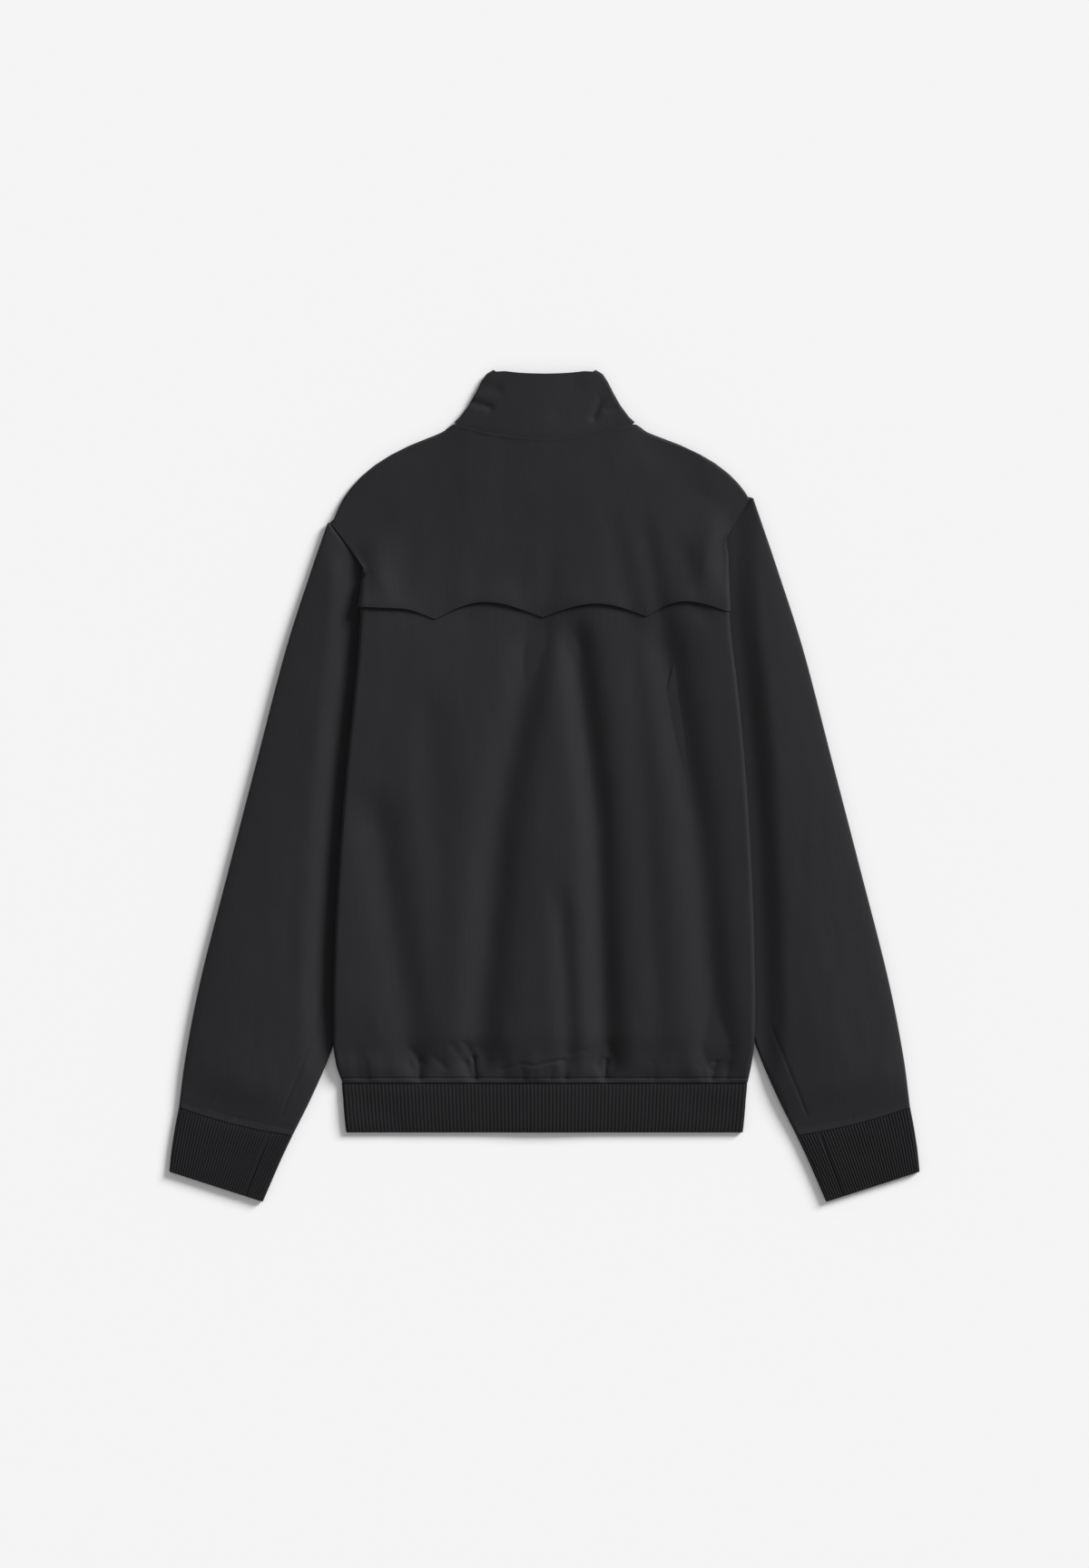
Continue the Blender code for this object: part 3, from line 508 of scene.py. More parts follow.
@dataclass
class BackAndYoke:
    """The back with its turned-under sides, and the scalloped yoke that lies on it."""

    columns: int = 170
    gather_rows: int = 40
    lower_rows: int = 88
    under_yoke_rows: int = 24
    upper_rows: int = 52
    curl_steps: int = 14
    tail_steps: int = 10
    shoulder_steps: int = 9
    wall: float = 0.9
    yoke_wall: float = 0.8
    yoke_gap: float = 0.5
    yoke_flare: float = 1.7
    yoke_wraps: int = 8
    main_reach: float = 172.0
    crown: float = 13.2
    yoke_crown: float = 8.8
    hem_height: float = 5.7
    over_fronts: float = 3.4

    def height(self, x: float, y: float) -> float:
        """The outer face of the back over its middle."""
        side = Side.LEFT if x < 0 else Side.RIGHT
        reach, fold = fold_of(side, y)
        slope = mix(120.0, 44.0, float(smooth(abs(x), 120.0, 172.0)))
        fold = mix(5.4, fold, float(smooth(SHOULDER_TIP[side][1] - y, 2.0 + (slope - 44.0) * -0.3, slope)))
        centre = mix(self.yoke_crown, self.crown, float(smooth(185.0 - y, 0.0, 110.0)))
        centre += 1.2 * float(smooth(y, 235.0, 290.0)) * float(bell(x, 0.0, 50.0))
        hem = self.hem_height + 1.2 * float(bell(x, 0.0, 40.0))
        centre = mix(hem, centre, float(smooth(y, HEM_SEAM_Y, -236.0)))
        level = mix(centre, fold, float(smooth(abs(x), 60.0, reach - 10.0)))
        level -= trough_depth(x, y) - wrinkles(x, y)
        beyond = float(smooth(abs(x), reach - 24.0, reach + 9.0)) * float(smooth(y, 172.0, 222.0))
        level = mix(level, 5.3, beyond)
        rolled = mix(6.2, 4.8, float(smooth(abs(x), 150.0, 190.0)))
        rolled = mix(rolled, level, float(smooth(top_edge_y(x) - y, 4.0, 45.0)))
        level = mix(level, rolled, float(smooth(abs(x), 70.0, 110.0)))
        over_sleeve = float(smooth(abs(x), seam_x(side, y) - 22.0, seam_x(side, y) + 6.0))
        over_sleeve *= float(smooth(y, HEM_SEAM_Y + 2.0, HEM_SEAM_Y + 40.0))
        floor = mix(self.over_fronts + 4.4 * over_sleeve, self.over_fronts, float(smooth(y, 200.0, 245.0)))
        near_zip = 1.0 - float(smooth(abs(x), 14.0, 36.0))
        floor = max(floor, mix(self.over_fronts, mix(5.2, 8.2, slider_rise(y)), near_zip))
        return max(level, floor)

    def curl(self, side: Side, y: float) -> list[tuple[float, float, float]]:
        """The back's side from where its middle ends: x, height and outward angle."""
        seam = seam_x(side, y)
        fold = fold_of(side, y)[0]
        turn = math.pi * float(np.clip((fold - seam) / 12.0, 0.03, 1.0))
        reach = max(fold, seam - 0.9)
        low = TUCK_FACE
        if y < ARMPIT[1]:
            low = TUCK_FACE * clear_of_hem(y) + 0.3
        if turn <= 2.6:
            low += 0.6 + 2.0 * max(math.cos(turn), 0.0)
        top = self.height(side.value * (reach - 4.0), y)
        full = min(12.4, (top - low) * turn / (1.0 - math.cos(turn))) if turn > 0.5 else 12.4
        length = mix(2.5, full, float(smooth(turn, 0.2, 1.2)))
        start = reach - arc(min(turn, math.pi / 2), length * min(1.0, math.pi / 2 / turn), 1.0)[0]
        places = []
        for step in range(self.curl_steps + 1):
            forward, down = arc(turn, length, step / self.curl_steps)
            places.append((start + forward, top - down, turn * step / self.curl_steps))
        end_x, end_z, _ = places[-1]
        for step in range(self.tail_steps):
            share = (step + 1) / self.tail_steps
            if turn > 2.6:
                places.append((mix(end_x, seam, share), end_z, math.pi))
            else:
                reached = 0.6 * share
                places.append((end_x + reached * math.cos(turn), end_z - reached * math.sin(turn), turn))
        return places

    def row(self, ends: dict[Side, float], row_y: Callable[[float, float, dict], float]
            ) -> tuple[list[tuple], list[tuple]]:
        """One row of the back, from the left seam to the right one.

        Args:
            ends: The height up the jacket at which the row meets each side.
            row_y: The row's height up the jacket for a column, a place and the reach of both curls.

        Returns:
            The row's points and their outward directions.
        """
        curls = {side: self.curl(side, ends[side]) for side in Side}
        points, outward = [], []
        for side in Side:
            sign = side.value
            made = [((sign * x, ends[side], z), (sign * math.sin(a), 0.0, math.cos(a)))
                    for x, z, a in curls[side]]
            made = made[::-1] if side is Side.LEFT else made
            if side is Side.RIGHT:
                left, right = -curls[Side.LEFT][0][0], curls[Side.RIGHT][0][0]
                for k in range(1, self.columns):
                    share = k / self.columns
                    x = mix(left, right, share)
                    y = row_y(mix(-self.main_reach, self.main_reach, share), x,
                              {Side.LEFT: -left, Side.RIGHT: right})
                    points.append((x, y, self.height(x, y)))
                    outward.append((0.0, 0.0, 1.0))
            points += [point for point, _ in made]
            outward += [direction for _, direction in made]
        return points, outward

    def grid(self) -> ClothGrid:
        """The whole back, rolled over the shoulders at its top."""
        rows = []
        gathered = np.linspace(HEM_SEAM_Y + 0.3, HEM_SEAM_Y + 42.0, self.gather_rows)
        for y in [*gathered, *np.linspace(HEM_SEAM_Y + 42.0, 85.0, self.lower_rows + 1)[1:]]:
            near = float(smooth(y, 60.0, 150.0)) * 0.35
            rows.append(self.row({side: float(y) for side in Side},
                                 lambda column, x, reach: y + near * (scallop_y(column) - 166.0)))
        near = float(smooth(85.0, 60.0, 150.0)) * 0.35
        for share in np.linspace(0.0, 1.0, self.under_yoke_rows + 1)[1:-1]:
            ends = {side: mix(85.0, scallop_y(side.value * 174.0), share) for side in Side}
            rows.append(self.row(ends, lambda column, x, reach: mix(85.0 + near * (scallop_y(column) - 166.0),
                                                                    scallop_y(column), share)))
        count = self.upper_rows
        for step in range(count + 1):
            share = step / count
            ends = {side: mix(scallop_y(side.value * 174.0), SHOULDER_TIP[side][1], share) for side in Side}

            def row_y(column: float, x: float, reach: dict[Side, float]) -> float:
                side = Side.LEFT if x < 0 else Side.RIGHT
                gap = ends[side] - mix(scallop_y(side.value * 172.5), top_edge_y(reach[side]), share)
                return mix(scallop_y(column), top_edge_y(x), share) + gap * (abs(x) / reach[side]) ** 5

            rows.append(self.row(ends, row_y))
        return self.rolled(np.array([row[0] for row in rows]), np.array([row[1] for row in rows]))

    def rolled(self, points: np.ndarray, outward: np.ndarray) -> ClothGrid:
        """Turns the top row into several that roll over the shoulders."""
        top = points[-1]
        along = np.gradient(top[:, :2], axis=0)
        normal = np.stack([-along[:, 1], along[:, 0]], axis=1)
        normal /= np.maximum(np.linalg.norm(normal, axis=1), 1e-6)[:, None]
        ends = self.curl_steps + self.tail_steps + 1
        for side, kept in ((Side.LEFT, slice(0, ends)), (Side.RIGHT, slice(-ends, None))):
            step = ARMHOLES[side][-1] - ARMHOLES[side][-4]
            normal[kept] = step / np.hypot(*step) * (side.value, 1.0)
        rows, directions = [], []
        for step in range(self.shoulder_steps):
            share = step / (self.shoulder_steps - 1)
            row, row_out = [], []
            for place, away in zip(top, normal):
                over = float(smooth(abs(place[0]), 84.0, 100.0))
                turn = over * math.pi / 2
                length = mix(3.0, (place[2] - 2.4) * math.pi / 2, over)
                inset = arc(turn, length, 1.0)[0] + over * 1.5
                forward, down = arc(turn, length, share)
                row.append((*(place[:2] + away * (forward - inset)), place[2] - down))
                row_out.append((*(away * math.sin(turn * share)), math.cos(turn * share)))
            rows.append(row)
            directions.append(row_out)
        return ClothGrid(np.vstack([points[:-1], rows]), np.vstack([outward[:-1], directions]))

    def build(self, cloth: bpy.types.Material) -> tuple[bpy.types.Object, bpy.types.Object]:
        """Makes both pieces."""
        grid = creased(self.grid(), HEM_CREASES)
        back = grid.sewn("back_cloth", cloth, self.wall)
        lay(back, "back")
        ends = self.curl_steps + self.tail_steps - self.yoke_wraps
        first = self.gather_rows + self.lower_rows + self.under_yoke_rows - 1
        over = (slice(first, None), slice(ends, grid.points.shape[1] - ends))
        cut = ClothGrid(grid.points[over], grid.outward[over])
        rise = self.yoke_gap + self.yoke_wall
        fade = bell(np.arange(cut.points.shape[0]), 0.0, 6.0)[:, None]
        flare = self.yoke_flare * fade * arch_lift(cut.points[:1, :, 0])
        yoke = cut.pushed(rise + flare).sewn("yoke_cloth", cloth, self.yoke_wall)
        lay(yoke, "yoke")
        return back, yoke


def arch_lift(x: np.ndarray) -> np.ndarray:
    """How far the yoke's free edge stands off, from 0 at a hanging point to 1 between."""
    nearest = np.min([np.abs(x - row.x) for row in SCALLOPS if row.hangs], axis=0)
    return smooth(nearest, 6.0, 34.0)


def trough_depth(x: float, y: float) -> float:
    """How far the soft hollows lower the back here."""
    depth = 0.0
    for row in TROUGHS:
        centre = float(np.interp(y, [HEM_SEAM_Y, -36.0, 152.0], [row.bottom_x, row.middle_x, row.top_x]))
        here = float(smooth(row.starts - y, -6.0, 46.0)) * float(smooth(y, HEM_SEAM_Y, HEM_SEAM_Y + 22.0))
        depth += row.depth * here * float(bell(x, centre, row.width))
    return depth


class Fold(NamedTuple):
    """A faint slanting hollow in the yoke: its ends, width and depth."""

    top: tuple[float, float]
    low: tuple[float, float]
    width: float
    depth: float


YOKE_FOLDS = (
    Fold((92.0, 262.0), (112.0, 160.0), 9.0, 1.3), Fold((64.0, 258.0), (80.0, 160.0), 11.0, 0.9),
    Fold((128.0, 240.0), (150.0, 165.0), 10.0, 1.1), Fold((-52.0, 236.0), (-74.0, 160.0), 12.0, 0.9),
    Fold((8.0, 240.0), (2.0, 160.0), 9.0, 0.7), Fold((-128.0, 250.0), (-140.0, 165.0), 13.0, 0.8),
)



class Pucker(NamedTuple):
    """A gather above the hem: where it starts, its width and its depth."""

    x: float
    width: float
    depth: float


PUCKERS = tuple(Pucker(*row) for row in (
    (-121.0, 8.0, 2.2), (-96.0, 7.0, 0.9), (-67.0, 6.0, 2.6), (-38.0, 7.0, 0.9), (-9.0, 9.0, -1.4),
    (20.0, 5.0, 1.1), (42.0, 7.0, 0.9), (59.0, 6.0, 2.8), (96.0, 9.0, 0.9), (128.0, 8.0, 0.9),
    (161.0, 6.0, 1.7), (-150.0, 8.0, 1.0), (-176.0, 6.0, 1.2),
))


def wrinkles(x: float, y: float) -> float:
    """Small uneven relief: the gathers above the hem, and faint waves in the cloth."""
    up = y - HEM_SEAM_Y
    gathers = 0.0
    near_hem = float(smooth(up, 0.0, 5.0)) * (1.0 - float(smooth(up, 16.0, 44.0)))
    for row in PUCKERS:
        leaning = row.x - 0.10 * up * (1.0 if row.x < 0 else -0.5)
        gathers += row.depth * near_hem * float(bell(x, leaning, row.width))
    roll = 1.5 * float(bell(up, 15.0, 12.0))
    for row in YOKE_FOLDS:
        along = float(np.clip((row.top[1] - y) / (row.top[1] - row.low[1]), -0.5, 1.3))
        centre = mix(row.top[0], row.low[0], along)
        fade = float(smooth(along, -0.1, 0.4)) * (1.0 - float(smooth(along, 1.0, 1.25)))
        gathers += row.depth * fade * float(bell(x, centre, row.width))
    waves = mathutils.noise.noise((x / 46.0, y / 95.0, 1.3)) * 0.9
    waves += mathutils.noise.noise((x / 15.0, y / 34.0, 6.1)) * 0.22
    return roll - gathers + waves * float(smooth(up, 0.0, 12.0))


@dataclass
class Front:
    """One front, flat on the surface with its outer face down."""

    side: Side
    columns: int = 60
    lower_rows: int = 60
    upper_rows: int = 50
    wall: float = 1.0
    gap: float = 6.0

    def height(self, x: float, y: float) -> float:
        """The front's underside: flat, raised beside the slider and over the sleeve's inner part."""
        lift = SLIDER_LIFT * slider_rise(y) * (1.0 - float(smooth(x, 12.0, 42.0)))
        inner = float(np.interp(y, SLEEVE_INNER[1], SLEEVE_INNER[0]))
        climb = TUCK_FACE * float(smooth(x, inner - 16.0, inner - 3.0))
        climb *= clear_of_hem(y) * float(smooth(ARMPIT[1] - y, 0.0, 25.0))
        return lift + climb

    def shoulder(self, share: float) -> np.ndarray:
        """The shoulder edge, set inside the roll of the back."""
        tip = SHOULDER_TIP[self.side]
        x = mix(COLLAR_SIDE_X, tip[0] - 3.0, share)
        gap = tip[1] - 1.5 - (top_edge_y(tip[0] - 3.0) - 4.5)
        return np.array([x, top_edge_y(x) - 4.5 + gap * share**4])

    def build(self, cloth: bpy.types.Material) -> bpy.types.Object:
        """Makes the front."""
        rows = []
        for y in np.linspace(HEM_SEAM_Y + 0.3, 26.0, self.lower_rows):
            seam = seam_x(self.side, float(y)) - 0.6
            rows.append([(x, float(y)) for x in np.linspace(self.gap, seam, self.columns)])
        neck = [(row.seam_x, row.seam_y - 0.6) for row in COLLAR_STATIONS]
        inner = np.array([(self.gap, mix(ARMPIT[1], 258.0, k / 4)) for k in range(4)]
                         + neck + [(COLLAR_SIDE_X, self.shoulder(0.0)[1])])
        shares = [0.0, 0.1, 0.24, 0.38, 0.5, 0.6, 0.7, 0.82, 0.92, 1.0]
        corner = np.array([(self.gap, ARMPIT[1]), (ARMPIT[0] - 0.8, ARMPIT[1])])
        armhole_edge = ARMHOLES[self.side] - np.array([0.9, -0.1])
        top_corner = [self.shoulder(0.0), armhole_edge[-1]]
        for v in np.linspace(0.0, 1.0, self.upper_rows):
            left = np.array([np.interp(v, shares, inner[:, k]) for k in range(2)])
            right = np.array([np.interp(v, np.linspace(0.0, 1.0, 81), armhole_edge[:, k]) for k in range(2)])
            row = []
            for u in np.linspace(0.0, 1.0, self.columns):
                bottom = mix(corner[0], corner[1], u)
                top = self.shoulder(u) if u < 1.0 else top_corner[1]
                place = mix(bottom, top, v) + mix(left, right, u)
                row.append(tuple(place - mix(bottom, mix(top_corner[0], top_corner[1], u), v)))
            rows.append(row)
        sign = self.side.value
        points = np.array([[(sign * x, y, self.height(x, y)) for x, y in row] for row in rows])
        outward = np.zeros_like(points)
        outward[..., 2] = -1.0
        name = f"front_{self.side.label}"
        piece = ClothGrid(points, outward).sewn(f"{name}_cloth", cloth, self.wall)
        lay(piece, name)
        return piece


class Station(NamedTuple):
    """A point on the collar's front half: where it is sewn on, and its top edge."""

    seam_x: float
    seam_y: float
    seam_z: float
    top_x: float
    top_y: float
    top_z: float


COLLAR_STATIONS = (
    Station(6.0, 258.3, 1.9, 6.0, 318.0, 1.9), Station(24.0, 263.0, 0.9, 17.0, 326.0, 0.9),
    Station(45.0, 281.0, 0.0, 29.0, 344.0, 0.0), Station(65.0, 309.0, 0.0, 38.0, 366.0, 0.0),
    Station(78.0, 333.0, 0.0, 43.0, 384.0, 0.0),
)


class FoldPoint(NamedTuple):
    """A point on the collar's side fold: its share of the way up the collar, and its place."""

    share: float
    x: float
    y: float


COLLAR_FOLDS = (
    FoldPoint(0.0, 86.5, 346.6), FoldPoint(0.1, 81.2, 351.2), FoldPoint(0.35, 72.8, 362.4),
    FoldPoint(0.6, 65.4, 375.6), FoldPoint(0.8, 60.4, 385.6), FoldPoint(0.93, 55.6, 392.8),
    FoldPoint(1.0, 49.0, 396.5),
)


class BackStation(NamedTuple):
    """A point on the collar's back half: where it is sewn on, and its top edge."""

    seam_x: float
    seam_z: float
    top_x: float
    top_y: float
    top_z: float


COLLAR_BACKS = (
    BackStation(70.0, 6.2, 38.0, 395.0, 6.8), BackStation(48.0, 7.6, 25.0, 393.6, 7.2),
    BackStation(25.0, 8.9, 13.0, 392.9, 7.5), BackStation(0.0, 9.6, 0.0, 392.6, 7.6),
)


class Section(NamedTuple):
    """A line across a sleeve or cuff: its ends in plan, its bow and its heights."""

    inner_x: float
    inner_y: float
    outer_x: float
    outer_y: float
    bow: float
    inner_height: float
    outer_height: float


SLEEVE_SECTIONS = tuple(Section(*row) for row in (
    (120.0, 0.0, 224.0, 204.0, 10.0, 4.6, 6.9), (143.0, -70.0, 248.0, 128.0, 3.0, 4.6, 7.5),
    (166.0, -140.0, 275.5, 22.0, 0.0, 4.6, 7.5), (188.0, -206.0, 303.0, -84.0, 0.0, 4.6, 7.5),
    (205.0, -258.0, 328.5, -184.0, 0.0, 4.8, 7.5), (223.0, -300.0, 343.0, -257.0, 0.0, 5.4, 7.0),
    (241.0, -336.0, 350.0, -309.0, -3.0, 5.7, 5.9),
))
CUFF_SECTIONS = tuple(Section(*row) for row in (
    (241.2, -336.4, 350.1, -309.4, -3.0, 5.7, 5.7), (247.0, -348.5, 353.5, -327.0, -1.5, 5.7, 5.7),
    (255.0, -366.0, 357.0, -349.0, 0.0, 5.7, 5.7), (269.5, -400.0, 359.5, -371.0, 0.0, 5.7, 5.7),
))
SLEEVE_INNER = (
    np.array([row.inner_x for row in SLEEVE_SECTIONS[::-1]] + [ARMPIT[0]]),
    np.array([row.inner_y for row in SLEEVE_SECTIONS[::-1]] + [ARMPIT[1]]),
)


def through(rows: tuple, steps: int) -> np.ndarray:
    """Rows between the given ones, on a smooth curve through them."""
    table = np.array(rows, dtype=float)
    padded = np.vstack([2 * table[0] - table[1], table, 2 * table[-1] - table[-2]])
    made = []
    for k in range(len(table) - 1):
        a, b, c, d = padded[k:k + 4]
        for step in range(steps):
            t = step / steps
            made.append(0.5 * (2 * b + (c - a) * t + (2 * a - 5 * b + 4 * c - d) * t * t
                               + (3 * b - a - 3 * c + d) * t**3))
    return np.array(made + [table[-1]])


@dataclass
class Tube:
    """A flattened tube of cloth: a sleeve or a cuff."""

    side: Side
    sections: tuple
    top_columns: int
    arc_columns: int
    steps: int

    def ring(self, row: Section, height_at: Callable[[np.ndarray, float], float]
             ) -> tuple[np.ndarray, np.ndarray]:
        """One ring round the tube: points and outward directions."""
        inner, outer = np.array(row[0:2]), np.array(row[2:4])
        chord = outer - inner
        length = float(np.hypot(*chord))
        ahead = chord / length
        upward = np.array([-ahead[1], ahead[0]])

        def on_line(share: float) -> np.ndarray:
            return inner + chord * share + upward * row.bow * 4.0 * share * (1.0 - share)

        half = [height_at(on_line(share), share) / 2 for share in (0.0, 1.0)]
        low, high = half[0] / length, 1.0 - half[1] / length
        places, outward = [], []
        for share in np.linspace(0.0, 1.0, self.top_columns):
            plan = on_line(mix(low, high, share))
            places.append((*plan, height_at(plan, share)))
            outward.append((0.0, 0.0, 1.0))
        angles = np.linspace(0.0, math.pi, self.arc_columns + 2)[1:-1]
        for end, radius, turned in ((high, half[1], 1), (low, half[0], -1)):
            if turned < 0:
                for share in np.linspace(0.0, 1.0, self.top_columns):
                    plan = on_line(mix(high, low, share))
                    places.append((*plan, 0.0))
                    outward.append((0.0, 0.0, -1.0))
            for angle in angles:
                reach, rise = math.sin(angle), turned * math.cos(angle)
                plan = on_line(end) + ahead * turned * radius * reach
                places.append((*plan, radius * (1.0 + rise)))
                outward.append((*(ahead * turned * reach), rise))
        mirror = np.array([self.side.value, 1.0, 1.0])
        return np.array(places) * mirror, np.array(outward) * mirror


@dataclass
class Sleeve(Tube):
    """One sleeve, which lies partly under the body."""

    sections: tuple = SLEEVE_SECTIONS
    top_columns: int = 96
    arc_columns: int = 8
    steps: int = 18
    wall: float = 1.0
    valley: tuple[float, float] = (4.0, 34.0)
    puff: float = 5.2

    def relief(self, x: float, y: float, share: float, down: float) -> float:
        """How far the upper face stands above or below its plain level.

        Args:
            x: Distance from the jacket's middle.
            y: Height up the jacket.
            share: Place across the sleeve, from its inner edge to its outer edge.
            down: Place along the sleeve, from the armhole to the cuff.

        Returns:
            The relief in millimetres.
        """
        fold = fold_of(self.side, y)[0]
        shown = float(smooth(x, fold + self.valley[0], fold + self.valley[1]))
        key = 3.0 if self.side is Side.LEFT else 9.0
        puff = self.puff * math.sin(math.pi * min(share, 1.0)) ** 0.7 * float(smooth(down, 0.02, 0.12))
        waves = mathutils.noise.noise((x / 40.0, y / 90.0, key)) * 1.1
        waves += mathutils.noise.noise((x / 14.0, y / 36.0, key + 4.0)) * 0.35
        near_cuff = float(smooth(down, 0.86, 0.99))
        return (puff + waves * math.sin(math.pi * min(share, 1.0)) ** 0.5) * shown * (1.0 - near_cuff)

    def build(self, cloth: bpy.types.Material) -> bpy.types.Object:
        """Makes the sleeve."""
        chord = np.array(SHOULDER_TIP[self.side]) - np.array(ARMPIT)
        inward = np.array([-chord[1], chord[0]]) / np.hypot(*chord)
        tucked, shown = -inward * -1.6, -inward * 0.9
        rings = np.array([Section(*(np.array(ARMPIT) + shift), *(np.array(SHOULDER_TIP[self.side]) + shift),
                                  ARMHOLE_BOW, SLEEVE_UNDER_BODY - 0.4 * k, tip)
                          for k, shift, tip in ((1, tucked, 4.6), (0, shown, 6.5))])
        first = Section(*(np.array(ARMPIT) + shown * 2.0), *(np.array(SHOULDER_TIP[self.side]) + shown * 2.0),
                        ARMHOLE_BOW, SLEEVE_UNDER_BODY, 7.0)
        rings = np.vstack([rings, through((first, *self.sections), self.steps)])
        points, outward = [], []
        for k, values in enumerate(rings):
            row = Section(*values)

            def height_at(plan: np.ndarray, share: float) -> float:
                fold = fold_of(self.side, plan[1])[0]
                rise = float(smooth(plan[0], fold + 8.0, fold + 30.0))
                level = mix(row.inner_height, row.outer_height, rise)
                return level + self.relief(plan[0], plan[1], share, k / (len(rings) - 1))

            ring = self.ring(row, height_at)
            points.append(ring[0])
            outward.append(ring[1])
        name = f"sleeve_{self.side.label}"
        grid = ClothGrid(np.array(points), np.array(outward), tube=True)
        sign = self.side.value
        seams_in = (Crease(sign * 218.0, -234.0, sign * 251.0, -316.0, 1.1, 0.7),
                    Crease(sign * 241.0, -330.6, sign * 294.0, -319.6, 1.3, 0.7),
                    Crease(sign * 294.0, -319.6, sign * 347.0, -303.6, 1.3, 0.7))
        piece = creased(grid, seams_in).sewn(f"{name}_cloth", cloth, self.wall)
        lay(piece, name)
        return piece


@dataclass
class Cuff(Tube):
    """One ribbed cuff."""

    sections: tuple = CUFF_SECTIONS
    top_columns: int = 330
    arc_columns: int = 16
    steps: int = 5
    wall: float = 1.2
    # The real ribs are 2 mm apart, too fine to show, so these are 2.8 mm apart.
    ribs: int = 80
    rib_depth: float = 0.7

    def build(self, knit: bpy.types.Material) -> bpy.types.Object:
        """Makes the cuff, with its ribs running down it."""
        points, outward = [], []
        for values in through(self.sections, self.steps):
            row = Section(*values)
            puff = 1.2 * math.sin(math.pi * min(len(points) / 14.0, 1.0)) ** 0.5
            ring = self.ring(row, lambda plan, share: 5.7 + puff * math.sin(math.pi * share) ** 0.5)
            points.append(ring[0])
            outward.append(ring[1])
        grid = ClothGrid(np.array(points), np.array(outward), tube=True)
        sign = self.side.value
        grid = creased(ribbed(grid, self.ribs, self.rib_depth), (
            Crease(sign * 264.0, -336.0, sign * 286.0, -394.0, 0.9, 0.9),
            Crease(sign * 290.0, -350.0, sign * 320.0, -356.0, 14.0, 0.6)))
        name = f"cuff_{self.side.label}"
        piece = grid.sewn(f"{name}_knit", knit, self.wall)
        lay(piece, name)
        return piece


def ribbed(grid: ClothGrid, ribs: int, depth: float) -> ClothGrid:
    """Cuts grooves between this many ribs, spaced evenly by length across the cloth."""
    points = grid.points
    steps = np.linalg.norm(np.diff(points, axis=1), axis=2)
    along = np.concatenate([np.zeros((len(points), 1)), np.cumsum(steps, axis=1)], axis=1)
    total = along[:, -1:] + (np.linalg.norm(points[:, :1] - points[:, -1:], axis=2) if grid.tube else 0.0)
    phase = along / total * ribs
    return grid.pushed(-depth * (0.5 + 0.5 * np.cos(2.0 * math.pi * phase)) ** 1.6)


def mirrored(half: list[tuple[tuple, tuple]]) -> tuple[list[tuple], list[tuple]]:
    """The right half of a row and its mirror image: the points, and the way each one faces."""
    flip = [((-p[0], p[1], p[2]), (-o[0], o[1], o[2])) for p, o in half[:-1]][::-1]
    return [p for p, _ in half + flip], [o for _, o in half + flip]


class HemRow(NamedTuple):
    """A row of the hem band: its place up the jacket, its reach to the side and its height."""

    y: float
    reach: float
    height: float


@dataclass
class HemBand:
    """The ribbed band round the bottom, open at the zip."""

    gap: float = 6.0
    wall: float = 1.2
    ribs: int = 216
    rib_depth: float = 0.6
    dips: tuple[Crease, ...] = (Crease(-170.0, -308.0, -146.0, -316.0, 12.0, 1.3),
                                Crease(142.0, -309.0, 176.0, -314.0, 12.0, 1.4))
    rows: tuple[HemRow, ...] = tuple(HemRow(*row) for row in (
        (-283.5, 193.6, 3.6), (-285.6, 194.2, 4.2), (-286.6, 194.2, 5.0), (-288.5, 194.1, 5.5),
        (-293.0, 193.8, 5.9), (-300.0, 193.0, 6.2), (-310.0, 192.3, 6.3), (-320.0, 191.5, 6.2),
        (-329.0, 190.6, 5.8), (-332.4, 190.1, 5.2), (HEM_END_Y, 190.0, 4.6)))

    def build(self, knit: bpy.types.Material) -> bpy.types.Object:
        """Makes the band."""
        rows, directions = [], []
        for y, reach, height in self.rows:
            radius = height / 2
            half = [((x, y, 0.0), (0.0, 0.0, -1.0)) for x in np.linspace(self.gap, reach - radius, 330)[:-1]]
            for angle in np.linspace(0.0, math.pi, 18):
                out, up = math.sin(angle), -math.cos(angle)
                half.append(((reach - radius + radius * out, y, radius * (1.0 + up)), (out, 0.0, up)))
            for x in np.linspace(reach - radius, 0.0, 331)[1:]:
                level = height + 1.2 * float(bell(x, 0.0, 40.0))
                half.append(((x, y, level), (0.0, 0.0, 1.0)))
            points, facing = mirrored(half)
            rows.append(points)
            directions.append(facing)
        grid = ribbed(ClothGrid(np.array(rows), np.array(directions)), self.ribs, self.rib_depth)
        piece = creased(grid, self.dips).sewn("hem_rib_knit", knit, self.wall)
        lay(piece, "hem_rib")
        return piece


